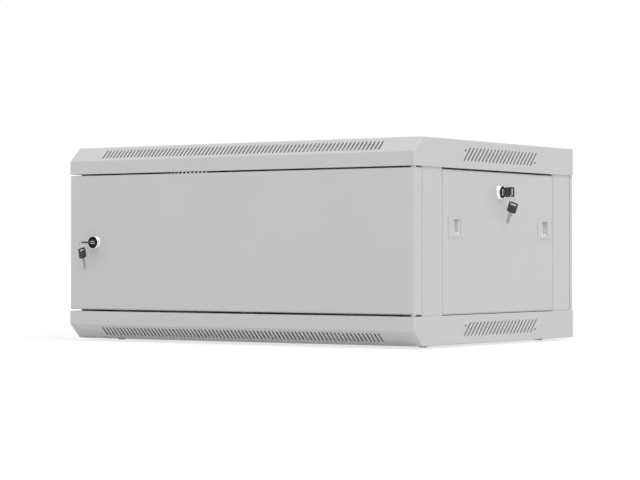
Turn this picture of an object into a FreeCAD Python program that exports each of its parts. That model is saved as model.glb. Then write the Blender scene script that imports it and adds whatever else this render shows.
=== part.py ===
import FreeCAD, Part
import Sketcher
import math
import os
from types import SimpleNamespace

# Wall cabinet for 19 inch equipment, 4 units high. Millimetres, +Z up, front towards -Y.
# The origin is under the middle of the whole object's box, where its feet stand.
SIZES = {
    # Outside of the sheet metal, without feet, locks and keys
    "width": 600.0,
    "depth": 450.0,
    "body_height": 281.4,
    "foot_height": 3.5,
    # Outer radius of the bends in covers, and in posts, door and panels
    "cover_bend": 1.5,
    "bend": 2.5,
    # Covers: folded sheet with a sloped front edge
    "cover_wall": 1.5,
    "top_cover_height": 39.6,
    "bottom_cover_height": 40.2,
    "chamfer_height": 20.4,
    "chamfer_depth": 21.7,
    "lip_return": 18.0,
    "side_return": 14.0,
    # Slots of the covers
    "slot_width": 2.9,
    "front_slot_length": 20.0,
    "front_slot_pitch": 6.5,
    "side_slot_rise": 20.0,
    "side_slot_pitch": 9.9,
    "short_slot_rise": 4.5,
    "short_slot_shift": 5.2,
    # Fan grille in the roof, for a 120 mm fan
    "fan_hole_spacing": 105.0,
    "fan_hole_radius": 2.25,
    "fan_grille_radius": 55.0,
    "fan_slot_width": 5.0,
    # Cable entries in roof and floor, each with its plate
    "entry_length": 240.0,
    "entry_width": 46.0,
    "entry_inset": 62.0,
    "plate_border": 12.0,
    "plate_wall": 1.5,
    # Corner posts: folded channels
    "post_wall": 1.5,
    "post_inset": 2.0,
    "front_post_start": 22.7,
    "post_depth": 53.3,
    "rear_post_gap": 7.0,
    "post_face_width": 30.0,
    "post_flange_width": 20.0,
    # Rear panel
    "rear_panel_wall": 1.5,
    "rear_panel_inset": 2.0,
    "rear_panel_margin": 15.0,
    "rear_panel_gap": 0.6,
    "dimple_radius": 7.5,
    "wall_hole_radius": 5.0,
    "wall_hole_spacing_x": 500.0,
    "wall_hole_spacing_z": 140.0,
    "window_length": 300.0,
    "window_height": 60.0,
    # Rack rails and their carriers
    "rack_unit": 44.45,
    "rack_hole_spacing_x": 465.1,
    "rack_hole_step": 15.875,
    "rack_hole": 9.5,
    "rack_opening": 450.0,
    "rail_face_width": 22.0,
    "rail_web_depth": 30.0,
    "rail_wall": 1.5,
    "rail_tab_width": 28.0,
    "carrier_start": 30.0,
    "carrier_end": 16.0,
    "carrier_height": 10.0,
    "carrier_wall": 1.5,
    "carrier_clearance": 1.0,
    "carrier_slot_length": 24.0,
    "carrier_slot_width": 7.0,
    "carrier_slot_pitch": 34.0,
    # Door
    "door_inset": 0.8,
    "door_depth": 20.0,
    "door_wall": 1.2,
    "door_gap_top": 2.2,
    "door_gap_bottom": 2.8,
    "stiffener_width": 60.0,
    "stiffener_depth": 12.0,
    "stiffener_margin": 6.0,
    # Door hinge
    "hinge_inset_x": 7.0,
    "hinge_inset_y": 10.0,
    "pin_radius": 2.5,
    "pin_clearance": 0.05,
    "pin_reach": 3.0,
    "washer_radius": 4.0,
    "washer_clearance": 0.1,
    "collar_radius": 4.2,
    "collar_height": 2.0,
    "handle_radius": 1.5,
    "handle_length": 10.0,
    "handle_drop": 6.0,
    "hinge_bracket_wall": 1.5,
    "hinge_spring_length": 12.0,
    "hinge_spring_wire": 0.7,
    "hinge_spring_turns": 5.0,
    # Side panels
    "panel_wall": 1.2,
    "panel_gap_top": 2.0,
    "panel_gap_bottom": 0.4,
    "panel_gap_side": 0.6,
    # Cam locks, alike on door and side panels
    "lock_head": 4.6,
    "lock_head_radius": 11.25,
    "lock_rim_radius": 9.6,
    "lock_barrel_radius": 9.0,
    "lock_barrel_clearance": 0.2,
    "lock_face_radius": 8.7,
    "lock_face_depth": 1.8,
    "plug_radius": 6.0,
    "lock_nut_width": 24.0,
    "lock_nut_height": 4.0,
    "cam_wall": 2.5,
    "cam_width": 15.0,
    "door_cam_reach": 34.0,
    "side_cam_reach": 37.0,
    "tail_width": 7.0,
    "tail_head_radius": 4.6,
    "tail_head_height": 1.2,
    "door_lock_inset": 46.7,
    "side_lock_drop": 28.3,
    "catch_clearance": 0.8,
    # Keys and their rings
    "bow_length": 15.4,
    "bow_width": 14.0,
    "bow_thickness": 2.5,
    "bow_corner": 2.0,
    "bow_slot_length": 10.4,
    "bow_slot_width": 2.4,
    "bow_slot_inset": 3.2,
    "neck_length": 2.8,
    "blade_length": 13.0,
    "blade_width": 6.0,
    "blade_thickness": 2.0,
    "keyway_clearance": 0.2,
    "ring_radius": 6.5,
    "ring_wire": 0.6,
    "ring_clearance": 0.3,
    "door_spare_tilt": 12.0,
    "side_spare_tilt": 19.0,
    "spare_offset": 2.1,
    # Slide latches of the side panels
    "latch_length": 42.0,
    "latch_height": 29.0,
    "latch_proud": 0.8,
    "front_latch_inset": 34.7,
    "rear_latch_inset": 25.3,
    "latch_level": 161.0,
    "latch_wall": 1.2,
    "latch_travel": 4.0,
    "latch_window_height": 21.6,
    "slider_lap": 4.0,
    "slider_edge": 0.5,
    "slider_depth": 7.7,
    "slider_play": 0.3,
    "finger_length": 15.0,
    "finger_height": 18.0,
    "finger_depth": 5.2,
    "finger_rise": 1.4,
    "tongue_height": 14.0,
    "tongue_thickness": 2.8,
    "tongue_reach": 1.0,
    "latch_spring_wire": 0.8,
    "latch_spring_radius": 2.2,
    "latch_spring_length": 6.6,
    "latch_spring_turns": 3.0,
    # Feet and fasteners
    "foot_radius": 6.35,
    "foot_inset_x": 35.0,
    "foot_inset_front": 79.0,
    "foot_inset_rear": 44.5,
    "foot_plug_radius": 3.0,
    "plate_screw_radius": 2.0,
    "plate_screw_head": 3.6,
    "rail_bolt_radius": 3.0,
    "rail_bolt_head": 5.2,
    "rail_bolt_length": 9.0,
    "bolt_clearance": 0.3,
    "panel_screw_radius": 2.5,
    "panel_screw_head": 4.6,
    "earth_stud_radius": 3.0,
    "earth_stud_length": 16.0,
    "earth_stud_offset": 30.0,
    # Height of every nut, as a share of its bore's radius
    "nut_height_ratio": 1.6,
}
COUNTS = {
    "front_slots": 75,
    "side_slots": 20,
    "rack_units": 4,
    "carrier_slots": 11,
    "fan_slots": 11,
    # Carrier slots that hold the rails, counted from the front
    "front_rail_slot": 1,
    "rear_rail_slot": 10,
}

doc = FreeCAD.newDocument("network_cabinet")
sheet = doc.addObject("Spreadsheet::Sheet", "Sizes")
for row, (name, value) in enumerate({**SIZES, **COUNTS}.items(), start=1):
    sheet.set(f"A{row}", name)
    sheet.set(f"B{row}", str(value))
    sheet.setAlias(f"B{row}", name)
doc.recompute()


class Dim:
    """A size in millimetres together with the sheet expression that gives it."""

    def __init__(self, value, text):
        self.value = float(value)
        self.text = text

    def __add__(self, other):
        other = dim(other)
        return Dim(self.value + other.value, f"({self.text} + {other.text})")

    def __sub__(self, other):
        other = dim(other)
        return Dim(self.value - other.value, f"({self.text} - {other.text})")

    def __mul__(self, other):
        other = dim(other)
        return Dim(self.value * other.value, f"({self.text} * {other.text})")

    def __truediv__(self, other):
        other = dim(other)
        return Dim(self.value / other.value, f"({self.text} / {other.text})")

    def __radd__(self, other):
        return dim(other) + self

    def __rsub__(self, other):
        return dim(other) - self

    def __rmul__(self, other):
        return dim(other) * self

    def __neg__(self):
        return dim(0) - self


def dim(number):
    """A plain number as a Dim; a Dim stays as it is."""
    if isinstance(number, Dim):
        return number
    return Dim(number, f"({float(number)})")


def root(square):
    return Dim(math.sqrt(square.value), f"sqrt({square.text})")


def cosine(angle):
    return Dim(math.cos(math.radians(angle.value)), f"cos({angle.text})")


def sine(angle):
    return Dim(math.sin(math.radians(angle.value)), f"sin({angle.text})")


S = SimpleNamespace(**{name: Dim(value, f"Sizes.{name}") for name, value in {**SIZES, **COUNTS}.items()})
V = FreeCAD.Vector

# Places that many pieces share. The spare key on the door is what stands out furthest in front.
key_reach = S.lock_head + S.neck_length + S.bow_length
ring_in_spare = S.bow_slot_inset - S.bow_slot_width / 2 + S.ring_wire + S.ring_clearance
spare_reach = (key_reach - S.bow_slot_inset + (S.spare_offset + S.bow_width / 2) * cosine(S.door_spare_tilt)
               + (ring_in_spare - S.bow_corner) * sine(S.door_spare_tilt))
front = (spare_reach - S.depth) / 2
back = front + S.depth
half = S.width / 2
base = S.foot_height
top = base + S.body_height
inner_half = half - S.cover_wall
skin = half - S.post_inset
front_post = (front + S.front_post_start, front + S.front_post_start + S.post_depth)
rear_post = (back - S.rear_post_gap - S.post_depth, back - S.rear_post_gap)
panel_y = (front_post[1] + S.panel_gap_side, rear_post[0] - S.panel_gap_side)
panel_middle = (panel_y[0] + panel_y[1]) / 2
panel_z = (base + S.bottom_cover_height + S.panel_gap_bottom, top - S.top_cover_height - S.panel_gap_top)
door_z = (base + S.bottom_cover_height + S.door_gap_bottom, top - S.top_cover_height - S.door_gap_top)
door_half = half - S.door_inset
panel_depth = S.side_return + S.cover_wall - S.post_inset
hinge_x = door_half - S.hinge_inset_x
hinge_y = front + S.hinge_inset_y
slot_middle = panel_middle
latch_z = base + S.latch_level


def bind(item, path, size):
    """Ties one property of an object to the sheet."""
    item.setExpression(path, dim(size).text)


def move(item, at, turn=None):
    if turn is not None:
        item.Placement.Rotation = turn
    for axis, size in zip("xyz", at):
        bind(item, f"Placement.Base.{axis}", size)
    return item


def block(name, xs, ys, zs):
    """A box between two places on each axis, in either order."""
    item = doc.addObject("Part::Box", name)
    lows = []
    for prop, (one, other) in zip(("Length", "Width", "Height"), (xs, ys, zs)):
        low, high = sorted((dim(one), dim(other)), key=lambda place: place.value)
        bind(item, prop, high - low)
        lows.append(low)
    return move(item, lows)


TURNS = {
    "X": FreeCAD.Rotation(V(0, 1, 0), 90),
    "Y": FreeCAD.Rotation(V(1, 0, 0), -90),
    "Z": FreeCAD.Rotation(),
}


def rod(name, axis, at, radius, length):
    """A cylinder that starts at a point and runs along +X, +Y or +Z."""
    item = doc.addObject("Part::Cylinder", name)
    bind(item, "Radius", radius)
    bind(item, "Height", length)
    return move(item, at, TURNS[axis])


def taper(name, axis, at, radius_start, radius_end, length):
    item = doc.addObject("Part::Cone", name)
    bind(item, "Radius1", radius_start)
    bind(item, "Radius2", radius_end)
    bind(item, "Height", length)
    return move(item, at, TURNS[axis])


def fuse(name, parts):
    item = doc.addObject("Part::MultiFuse", name)
    item.Shapes = parts
    item.Refine = True
    return item


def cut(name, solid, tools):
    item = doc.addObject("Part::Cut", name)
    item.Base = solid
    item.Tool = tools[0] if len(tools) == 1 else fuse(f"{name}_cuts", tools)
    item.Refine = True
    return item


def copies(name, master, places):
    """Identical separate solids, one at each place."""
    doc.recompute()
    solids = []
    for place in places:
        solid = master.Shape.copy()
        solid.Placement = FreeCAD.Placement(V(*[dim(part).value for part in place[:3]]), place[3])
        solids.append(solid)
    item = doc.addObject("Part::Feature", name)
    item.Shape = Part.Compound(solids)
    return item


nodes = {}


def node(name, item):
    """Names one piece of the cabinet."""
    item.Label = name
    nodes[name] = item
    return item


def new_body(name):
    return doc.addObject("PartDesign::Body", name)


def origin_part(body, role):
    return [part for part in body.Origin.OriginFeatures if part.Role == role][0]


def new_sketch(body, name, plane, offset=0):
    """An empty sketch on one of the body's own planes, offset along the plane's normal."""
    sketch = body.newObject("Sketcher::SketchObject", name)
    sketch.AttachmentSupport = [(origin_part(body, plane), "")]
    sketch.MapMode = "FlatFace"
    bind(sketch, "AttachmentOffset.Base.z", offset)
    return sketch


def pin_point(sketch, edge, end, place):
    """Fixes an end or a centre of an edge at a place given by two sizes."""
    for kind, size in zip(("DistanceX", "DistanceY"), place):
        size = dim(size)
        index = sketch.addConstraint(Sketcher.Constraint(kind, -1, 1, edge, end, size.value))
        bind(sketch, f"Constraints[{index}]", size)


def draw_polygon(sketch, points):
    first = sketch.GeometryCount
    corners = [V(dim(x).value, dim(y).value, 0) for x, y in points]
    count = len(corners)
    for index in range(count):
        sketch.addGeometry(Part.LineSegment(corners[index], corners[(index + 1) % count]), False)
    for index in range(count):
        following = first + (index + 1) % count
        sketch.addConstraint(Sketcher.Constraint("Coincident", first + index, 2, following, 1))
    for index, place in enumerate(points):
        pin_point(sketch, first + index, 1, place)


def draw_rectangle(sketch, xs, ys):
    draw_polygon(sketch, [(xs[0], ys[0]), (xs[1], ys[0]), (xs[1], ys[1]), (xs[0], ys[1])])


def draw_circle(sketch, place, radius):
    edge = sketch.addGeometry(
        Part.Circle(V(dim(place[0]).value, dim(place[1]).value, 0), V(0, 0, 1), dim(radius).value), False)
    pin_point(sketch, edge, 3, place)
    index = sketch.addConstraint(Sketcher.Constraint("Radius", edge, dim(radius).value))
    bind(sketch, f"Constraints[{index}]", radius)


def draw_slot(sketch, start, end, radius):
    """A slot with round ends about two centres."""
    a = V(dim(start[0]).value, dim(start[1]).value, 0)
    b = V(dim(end[0]).value, dim(end[1]).value, 0)
    turn = math.atan2(b.y - a.y, b.x - a.x)
    side = V(-math.sin(turn), math.cos(turn), 0) * dim(radius).value
    up = V(0, 0, 1)
    quarter = math.pi / 2
    far = sketch.addGeometry(
        Part.ArcOfCircle(Part.Circle(b, up, dim(radius).value), turn - quarter, turn + quarter), False)
    near = sketch.addGeometry(
        Part.ArcOfCircle(Part.Circle(a, up, dim(radius).value), turn + quarter, turn + 3 * quarter), False)
    left = sketch.addGeometry(Part.LineSegment(b + side, a + side), False)
    right = sketch.addGeometry(Part.LineSegment(a - side, b - side), False)
    for one, one_end, other, other_end in ((far, 2, left, 1), (left, 2, near, 1), (near, 2, right, 1),
                                           (right, 2, far, 1)):
        sketch.addConstraint(Sketcher.Constraint("Tangent", one, one_end, other, other_end))
    sketch.addConstraint(Sketcher.Constraint("Equal", far, near))
    pin_point(sketch, near, 3, start)
    pin_point(sketch, far, 3, end)
    index = sketch.addConstraint(Sketcher.Constraint("Radius", near, dim(radius).value))
    bind(sketch, f"Constraints[{index}]", radius)


def feature(body, kind, name, sketch, length, both_ways=True, reverse=False):
    """A pad or pocket of a sketch, half each way by default."""
    item = body.newObject(f"PartDesign::{kind}", name)
    item.Profile = sketch
    bind(item, "Length", length)
    item.Midplane = both_ways
    item.Reversed = reverse
    sketch.Visibility = False
    return item


def at_place(axis, place, upright=False):
    """Chooses the edges that lie wholly at one place on an axis, or only the upright ones there."""
    index = "xyz".index(axis)

    def wanted(edge):
        ends = [end.Point for end in edge.Vertexes]
        if upright and abs(ends[0].z - ends[-1].z) < 1:
            return False
        return all(abs(end[index] - dim(place).value) < 1e-4 for end in ends)

    return wanted


def round_edges(body, name, base_feature, radius, wanted):
    """Rounds the edges of a feature that the function wanted chooses."""
    doc.recompute()
    edges = enumerate(base_feature.Shape.Edges, start=1)
    chosen = [f"Edge{number}" for number, edge in edges if wanted(edge)]
    item = body.newObject("PartDesign::Fillet", name)
    item.Base = (base_feature, chosen)
    bind(item, "Radius", radius)
    return item


def repeat(body, name, original, axis, length, count):
    item = body.newObject("PartDesign::LinearPattern", name)
    item.Originals = [original]
    item.Direction = (origin_part(body, axis), [""])
    bind(item, "Length", length)
    bind(item, "Occurrences", count)
    body.Tip = item
    return item


# Top and bottom cover
def cover(name, height, level):
    """One folded cover; level gives the height of a place measured inwards from its outer face."""
    body = new_body(name)
    wall = S.cover_wall
    slope = root(S.chamfer_height * S.chamfer_height + S.chamfer_depth * S.chamfer_depth)
    outline = new_sketch(body, f"{name}_outline", "YZ_Plane")
    draw_polygon(outline, [
        (front, level(height)),
        (front, level(S.chamfer_height)),
        (front + S.chamfer_depth, level(0)),
        (back, level(0)),
        (back, level(height)),
    ])
    blank = feature(body, "Pad", f"{name}_blank", outline, S.width)
    on_open_side = at_place("z", level(height))
    round_edges(body, f"{name}_bends", blank, S.cover_bend, lambda edge: not on_open_side(edge))
    hollow = new_sketch(body, f"{name}_hollow", "YZ_Plane")
    draw_polygon(hollow, [
        (front + wall, level(height - wall)),
        (front + wall, level(S.chamfer_height + wall * (slope - S.chamfer_height) / S.chamfer_depth)),
        (front + S.chamfer_depth + wall * (slope - S.chamfer_depth) / S.chamfer_height, level(wall)),
        (back - wall, level(wall)),
        (back - wall, level(height - wall)),
    ])
    feature(body, "Pocket", f"{name}_inside", hollow, S.width - 2 * wall)
    mouth = new_sketch(body, f"{name}_mouth", "XY_Plane", level(height))
    narrow = inner_half - S.side_return
    draw_polygon(mouth, [
        (-inner_half, front + S.lip_return), (inner_half, front + S.lip_return),
        (inner_half, front_post[1]), (narrow, front_post[1]),
        (narrow, rear_post[0]), (inner_half, rear_post[0]),
        (inner_half, back - wall), (-inner_half, back - wall),
        (-inner_half, rear_post[0]), (-narrow, rear_post[0]),
        (-narrow, front_post[1]), (-inner_half, front_post[1]),
    ])
    feature(body, "Pocket", f"{name}_open_side", mouth, 4 * wall)
    # Row of slots up the sloped front edge
    front_run = (S.front_slots - 1) * S.front_slot_pitch
    reach = (S.front_slot_length * S.chamfer_depth / slope - S.slot_width) / 2
    middle = front + S.chamfer_depth / 2
    front_slot = new_sketch(body, f"{name}_front_slot", "XY_Plane", level(S.chamfer_height / 2))
    slot_end = S.slot_width / 2
    draw_slot(front_slot, (-front_run / 2, middle - reach), (-front_run / 2, middle + reach), slot_end)
    first = feature(body, "Pocket", f"{name}_front_slot_cut", front_slot, S.chamfer_height + 4 * wall)
    repeat(body, f"{name}_front_slots", first, "X_Axis", front_run, S.front_slots)
    # Field of slanted slots in both sides, with a short one at two of its corners
    side_run = (S.side_slots - 1) * S.side_slot_pitch
    half_rise = (S.side_slot_rise - S.slot_width) / 2
    start = slot_middle - side_run / 2
    side_level = level(height / 2)
    side_slot = new_sketch(body, f"{name}_side_slot", "YZ_Plane")
    draw_slot(side_slot, (start - half_rise, side_level - half_rise),
              (start + half_rise, side_level + half_rise), slot_end)
    first = feature(body, "Pocket", f"{name}_side_slot_cut", side_slot, S.width + 2 * wall)
    repeat(body, f"{name}_side_slots", first, "Y_Axis", side_run, S.side_slots)
    short_slots = new_sketch(body, f"{name}_short_slots", "YZ_Plane")
    half_short = (S.short_slot_rise - S.slot_width) / 2
    for line, way in ((start - S.side_slot_pitch, 1), (start + side_run + S.side_slot_pitch, -1)):
        y = line + way * S.short_slot_shift
        z = side_level + way * S.short_slot_shift
        draw_slot(short_slots, (y - half_short, z - half_short), (y + half_short, z + half_short), slot_end)
    feature(body, "Pocket", f"{name}_short_slots_cut", short_slots, S.width + 2 * wall)
    # Cable entry at the back and its plate's screw holes
    entry = new_sketch(body, f"{name}_entry", "XY_Plane", level(0))
    entry_y = back - S.entry_inset
    draw_rectangle(entry, (-S.entry_length / 2, S.entry_length / 2),
                   (entry_y - S.entry_width / 2, entry_y + S.entry_width / 2))
    for x, y in plate_screw_places():
        draw_circle(entry, (x, y), S.plate_screw_radius)
    feature(body, "Pocket", f"{name}_entry_cut", entry, 4 * wall)
    # Hole for the hinge pin in the lip's return
    pin_hole = new_sketch(body, f"{name}_pin_hole", "XY_Plane", level(height))
    draw_circle(pin_hole, (hinge_x, hinge_y), S.pin_radius + S.pin_clearance)
    feature(body, "Pocket", f"{name}_pin_hole_cut", pin_hole, 4 * wall)
    return body


def plate_screw_places():
    """Four screws of a cable entry plate, midway in its border."""
    x = (S.entry_length + S.plate_border) / 2
    y = (S.entry_width + S.plate_border) / 2
    return [(sx * x, back - S.entry_inset + sy * y) for sx in (-1, 1) for sy in (-1, 1)]


def foot_places():
    x = half - S.foot_inset_x
    return [(sx * x, y) for sx in (-1, 1) for y in (front + S.foot_inset_front, back - S.foot_inset_rear)]


def earth_places():
    return [(-S.entry_length / 2 - S.earth_stud_offset, back - S.entry_inset)]


def top_cover():
    name = "top_cover"
    body = cover(name, S.top_cover_height, lambda inward: top - inward)
    fan = new_sketch(body, f"{name}_fan_grille", "XY_Plane", top)
    middle = (front + back) / 2
    radius = S.fan_grille_radius - S.fan_slot_width / 2
    count = COUNTS["fan_slots"]
    for index in range(count):
        x = (2 * index / (count + 1) - (count - 1) / (count + 1)) * radius
        reach = root(radius * radius - x * x)
        draw_slot(fan, (x, middle - reach), (x, middle + reach), S.fan_slot_width / 2)
    for sx in (-1, 1):
        for sy in (-1, 1):
            draw_circle(fan, (sx * S.fan_hole_spacing / 2, middle + sy * S.fan_hole_spacing / 2),
                        S.fan_hole_radius)
    feature(body, "Pocket", f"{name}_fan_cut", fan, 4 * S.cover_wall)
    return node(name, body)


def bottom_cover():
    name = "bottom_cover"
    body = cover(name, S.bottom_cover_height, lambda inward: base + inward)
    floor_holes = new_sketch(body, f"{name}_floor_holes", "XY_Plane", base)
    for x, y in foot_places():
        draw_circle(floor_holes, (x, y), S.foot_plug_radius)
    for x, y in earth_places():
        draw_circle(floor_holes, (x, y), S.earth_stud_radius)
    feature(body, "Pocket", f"{name}_floor_holes_cut", floor_holes, 4 * S.cover_wall)
    return node(name, body)


top_cover()
bottom_cover()


# Corner posts: channels that stand between floor and roof, open towards the inside
def post(name, side, near, far, step):
    """One post with its face at y = near; step is the way along Y from there to its other flange."""
    body = new_body(name)
    wall = S.post_wall
    outer = side * skin
    web = side * (skin - wall)
    face_end = side * (skin - S.post_face_width)
    flange_end = side * (skin - S.post_flange_width)
    outline = new_sketch(body, f"{name}_outline", "XY_Plane", base + S.cover_wall)
    draw_polygon(outline, [
        (outer, near), (outer, far), (flange_end, far), (flange_end, far - step * wall),
        (web, far - step * wall), (web, near + step * wall), (face_end, near + step * wall), (face_end, near),
    ])
    tall = S.body_height - 2 * S.cover_wall
    channel = feature(body, "Pad", f"{name}_channel", outline, tall, both_ways=False)
    outside = round_edges(body, f"{name}_bends", channel, S.bend, at_place("x", outer, upright=True))
    round_edges(body, f"{name}_inner_bends", outside, S.bend - wall, at_place("x", web, upright=True))
    # Slot for the tongue of the side panel's latch
    slot = new_sketch(body, f"{name}_tongue_slot", "XZ_Plane", -(far - step * wall / 2))
    draw_rectangle(slot, tongue_xs(side), tongue_zs())
    feature(body, "Pocket", f"{name}_tongue_slot_cut", slot, 2 * wall)
    return body


def tongue_xs(side):
    """Room for a latch tongue in post and panel, across the sheet."""
    inner = skin - S.slider_play - S.slider_depth
    return side * (inner - S.slider_play), side * (inner + S.tongue_thickness + S.slider_play)


def tongue_zs():
    reach = S.tongue_height / 2 + S.slider_play
    return latch_z - reach, latch_z + reach


def rear_post_body(name, side):
    """A rear post also has the holes for the rear panel's screws."""
    body = post(name, side, rear_post[1], rear_post[0], -1)
    holes = new_sketch(body, f"{name}_screw_holes", "XZ_Plane", S.post_wall / 2 - rear_post[1])
    for x, z in rear_screw_places():
        if x.value * side > 0:
            draw_circle(holes, (x, z), S.panel_screw_radius)
    feature(body, "Pocket", f"{name}_screw_holes_cut", holes, 2 * S.post_wall)
    return body


# Rear panel: shallow pan whose back is the face that lies on the wall
rear_half = half - S.rear_panel_inset
rear_z = (base + S.bottom_cover_height + S.rear_panel_gap, top - S.top_cover_height - S.rear_panel_gap)
rear_middle = (rear_z[0] + rear_z[1]) / 2
window_z = (rear_z[0] + S.rear_panel_margin, rear_z[0] + S.rear_panel_margin + S.window_height)


def rear_screw_places():
    x = skin - S.post_face_width / 2
    reach = (rear_z[1] - rear_z[0]) / 2 - S.rear_panel_margin
    return [(sx * x, rear_middle + step * reach) for sx in (-1, 1) for step in (-1, 0, 1)]


def rear_panel():
    """The pan, with a dimple pressed in at each screw so that its floor lies on the post."""
    wall = S.rear_panel_wall
    blank = block("rear_panel_blank", (-rear_half, rear_half), (rear_post[1], back), rear_z)
    inside = block("rear_panel_inside", (wall - rear_half, rear_half - wall),
                   (rear_post[1] - wall, back - wall), (rear_z[0] + wall, rear_z[1] - wall))
    dimples, tools = [], []
    for x, z in rear_screw_places():
        dimples.append(rod("dimple", "Y", (x, rear_post[1], z), S.dimple_radius, back - rear_post[1]))
        tools.append(rod("dimple_inside", "Y", (x, rear_post[1] + wall, z), S.dimple_radius - wall,
                         S.rear_post_gap))
        tools.append(rod("screw_hole", "Y", (x, rear_post[1] - wall, z), S.panel_screw_radius, 3 * wall))
    for sx in (-1, 1):
        for sz in (-1, 1):
            level = rear_middle + sz * S.wall_hole_spacing_z / 2
            at = (sx * S.wall_hole_spacing_x / 2, back - 2 * wall, level)
            tools.append(rod("wall_hole", "Y", at, S.wall_hole_radius, 3 * wall))
    tools.append(block("rear_window", (-S.window_length / 2, S.window_length / 2),
                       (back - 2 * wall, back + wall), window_z))
    pan = fuse("rear_pan", [cut("rear_pan_sheet", blank, [inside]), *dimples])
    return node("rear_panel", cut("rear_panel_sheet", pan, tools))


rear_panel()
for side, word in ((-1, "left"), (1, "right")):
    node(f"front_post_{word}", post(f"front_post_{word}", side, *front_post, 1))
    node(f"rear_post_{word}", rear_post_body(f"rear_post_{word}", side))

# Rack rails and the channels that carry them
rail_z = (base + S.cover_wall + S.carrier_height, top - S.cover_wall - S.carrier_height)
rack_low = (rail_z[0] + rail_z[1]) / 2 - S.rack_units * S.rack_unit / 2
rail_inner = S.rack_opening / 2
rail_outer = rail_inner + S.rail_face_width
carrier_x = (rail_outer + S.carrier_clearance, rail_outer + S.rail_tab_width)
carrier_y = (front + S.carrier_start, back - S.carrier_end)
carrier_length = carrier_y[1] - carrier_y[0]
carrier_run = (S.carrier_slots - 1) * S.carrier_slot_pitch


def carrier_slot_y(number):
    """The middle of a carrier's slot, counted from the front."""
    return carrier_y[0] + (carrier_length - carrier_run) / 2 + (number - 1) * S.carrier_slot_pitch


def rack_rail(name, side, face_y, step):
    """One rail: a face with square holes, a web behind it and a tab at each end."""
    body = new_body(name)
    wall = S.rail_wall
    outline = new_sketch(body, f"{name}_outline", "XY_Plane", rail_z[0])
    inner, outer = side * rail_inner, side * rail_outer
    web = side * (rail_outer - wall)
    deep = face_y + step * S.rail_web_depth
    draw_polygon(outline, [(inner, face_y), (outer, face_y), (outer, deep), (web, deep),
                           (web, face_y + step * wall), (inner, face_y + step * wall)])
    feature(body, "Pad", f"{name}_angle", outline, rail_z[1] - rail_z[0], both_ways=False)
    for end, level, reverse in (("low", rail_z[0], False), ("high", rail_z[1], True)):
        tab = new_sketch(body, f"{name}_{end}_tab", "XY_Plane", level)
        draw_rectangle(tab, (web, side * carrier_x[1]), (face_y, deep))
        feature(body, "Pad", f"{name}_{end}_tab_pad", tab, wall, both_ways=False, reverse=reverse)
    bolt_hole = new_sketch(body, f"{name}_bolt_hole", "XY_Plane", rail_z[0])
    draw_circle(bolt_hole, rail_bolt_place(side, face_y, step), S.rail_bolt_radius + S.bolt_clearance)
    feature(body, "Pocket", f"{name}_bolt_hole_cut", bolt_hole, 4 * (rail_z[1] - rail_z[0]))
    holes = new_sketch(body, f"{name}_unit_holes", "XZ_Plane", -face_y)
    centre_x = side * S.rack_hole_spacing_x / 2
    for index in range(3):
        z = rack_low + S.rack_unit / 2 + (index - 1) * S.rack_hole_step
        draw_rectangle(holes, (centre_x - S.rack_hole / 2, centre_x + S.rack_hole / 2),
                       (z - S.rack_hole / 2, z + S.rack_hole / 2))
    unit = feature(body, "Pocket", f"{name}_unit_holes_cut", holes, 4 * wall)
    repeat(body, f"{name}_holes", unit, "Z_Axis", (S.rack_units - 1) * S.rack_unit, S.rack_units)
    return node(name, body)


def rail_bolt_place(side, face_y, step):
    return side * (carrier_x[0] + carrier_x[1]) / 2, face_y + step * S.rail_web_depth / 2


rails = []
for side, word in ((-1, "left"), (1, "right")):
    front_face = carrier_slot_y(S.front_rail_slot) - S.rail_web_depth / 2
    rear_face = carrier_slot_y(S.rear_rail_slot) + S.rail_web_depth / 2
    rails.append((f"rack_rail_front_{word}", side, front_face, 1))
    rails.append((f"rack_rail_rear_{word}", side, rear_face, -1))
for rail in rails:
    rack_rail(*rail)


def carrier(name):
    """A slotted channel, made along +Y from the origin with its web on z = 0 and its flanges up."""
    body = new_body(name)
    wall = S.carrier_wall
    wide = carrier_x[1] - carrier_x[0]
    outline = new_sketch(body, f"{name}_outline", "XZ_Plane")
    draw_polygon(outline, [(-wide / 2, 0), (wide / 2, 0), (wide / 2, S.carrier_height),
                           (wide / 2 - wall, S.carrier_height), (wide / 2 - wall, wall),
                           (wall - wide / 2, wall), (wall - wide / 2, S.carrier_height),
                           (-wide / 2, S.carrier_height)])
    feature(body, "Pad", f"{name}_channel", outline, carrier_length, both_ways=False, reverse=True)
    slot = new_sketch(body, f"{name}_slot", "XY_Plane")
    start = (carrier_length - carrier_run) / 2
    reach = (S.carrier_slot_length - S.carrier_slot_width) / 2
    draw_slot(slot, (0, start - reach), (0, start + reach), S.carrier_slot_width / 2)
    first = feature(body, "Pocket", f"{name}_slot_cut", slot, 4 * wall)
    repeat(body, f"{name}_slots", first, "Y_Axis", carrier_run, S.carrier_slots)
    return body


def rail_carriers():
    master = carrier("rail_carrier")
    middle = (carrier_x[0] + carrier_x[1]) / 2
    upright = FreeCAD.Rotation()
    turned = FreeCAD.Rotation(V(0, 1, 0), 180)
    places = []
    for side in (-1, 1):
        places.append((side * middle, carrier_y[0], rail_z[1], upright))
        places.append((side * middle, carrier_y[0], rail_z[0], turned))
    return node("rail_carriers", copies("rail_carrier_set", master, places))


rail_carriers()


# Fasteners: one master each, copied to every place
def revolved_fastener(name, steps):
    """Stacked discs on +Z from the origin: (radius, start, end) each."""
    discs = [rod(f"{name}_disc", "Z", (0, 0, start), radius, end - start) for radius, start, end in steps]
    return fuse(name, discs)


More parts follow.
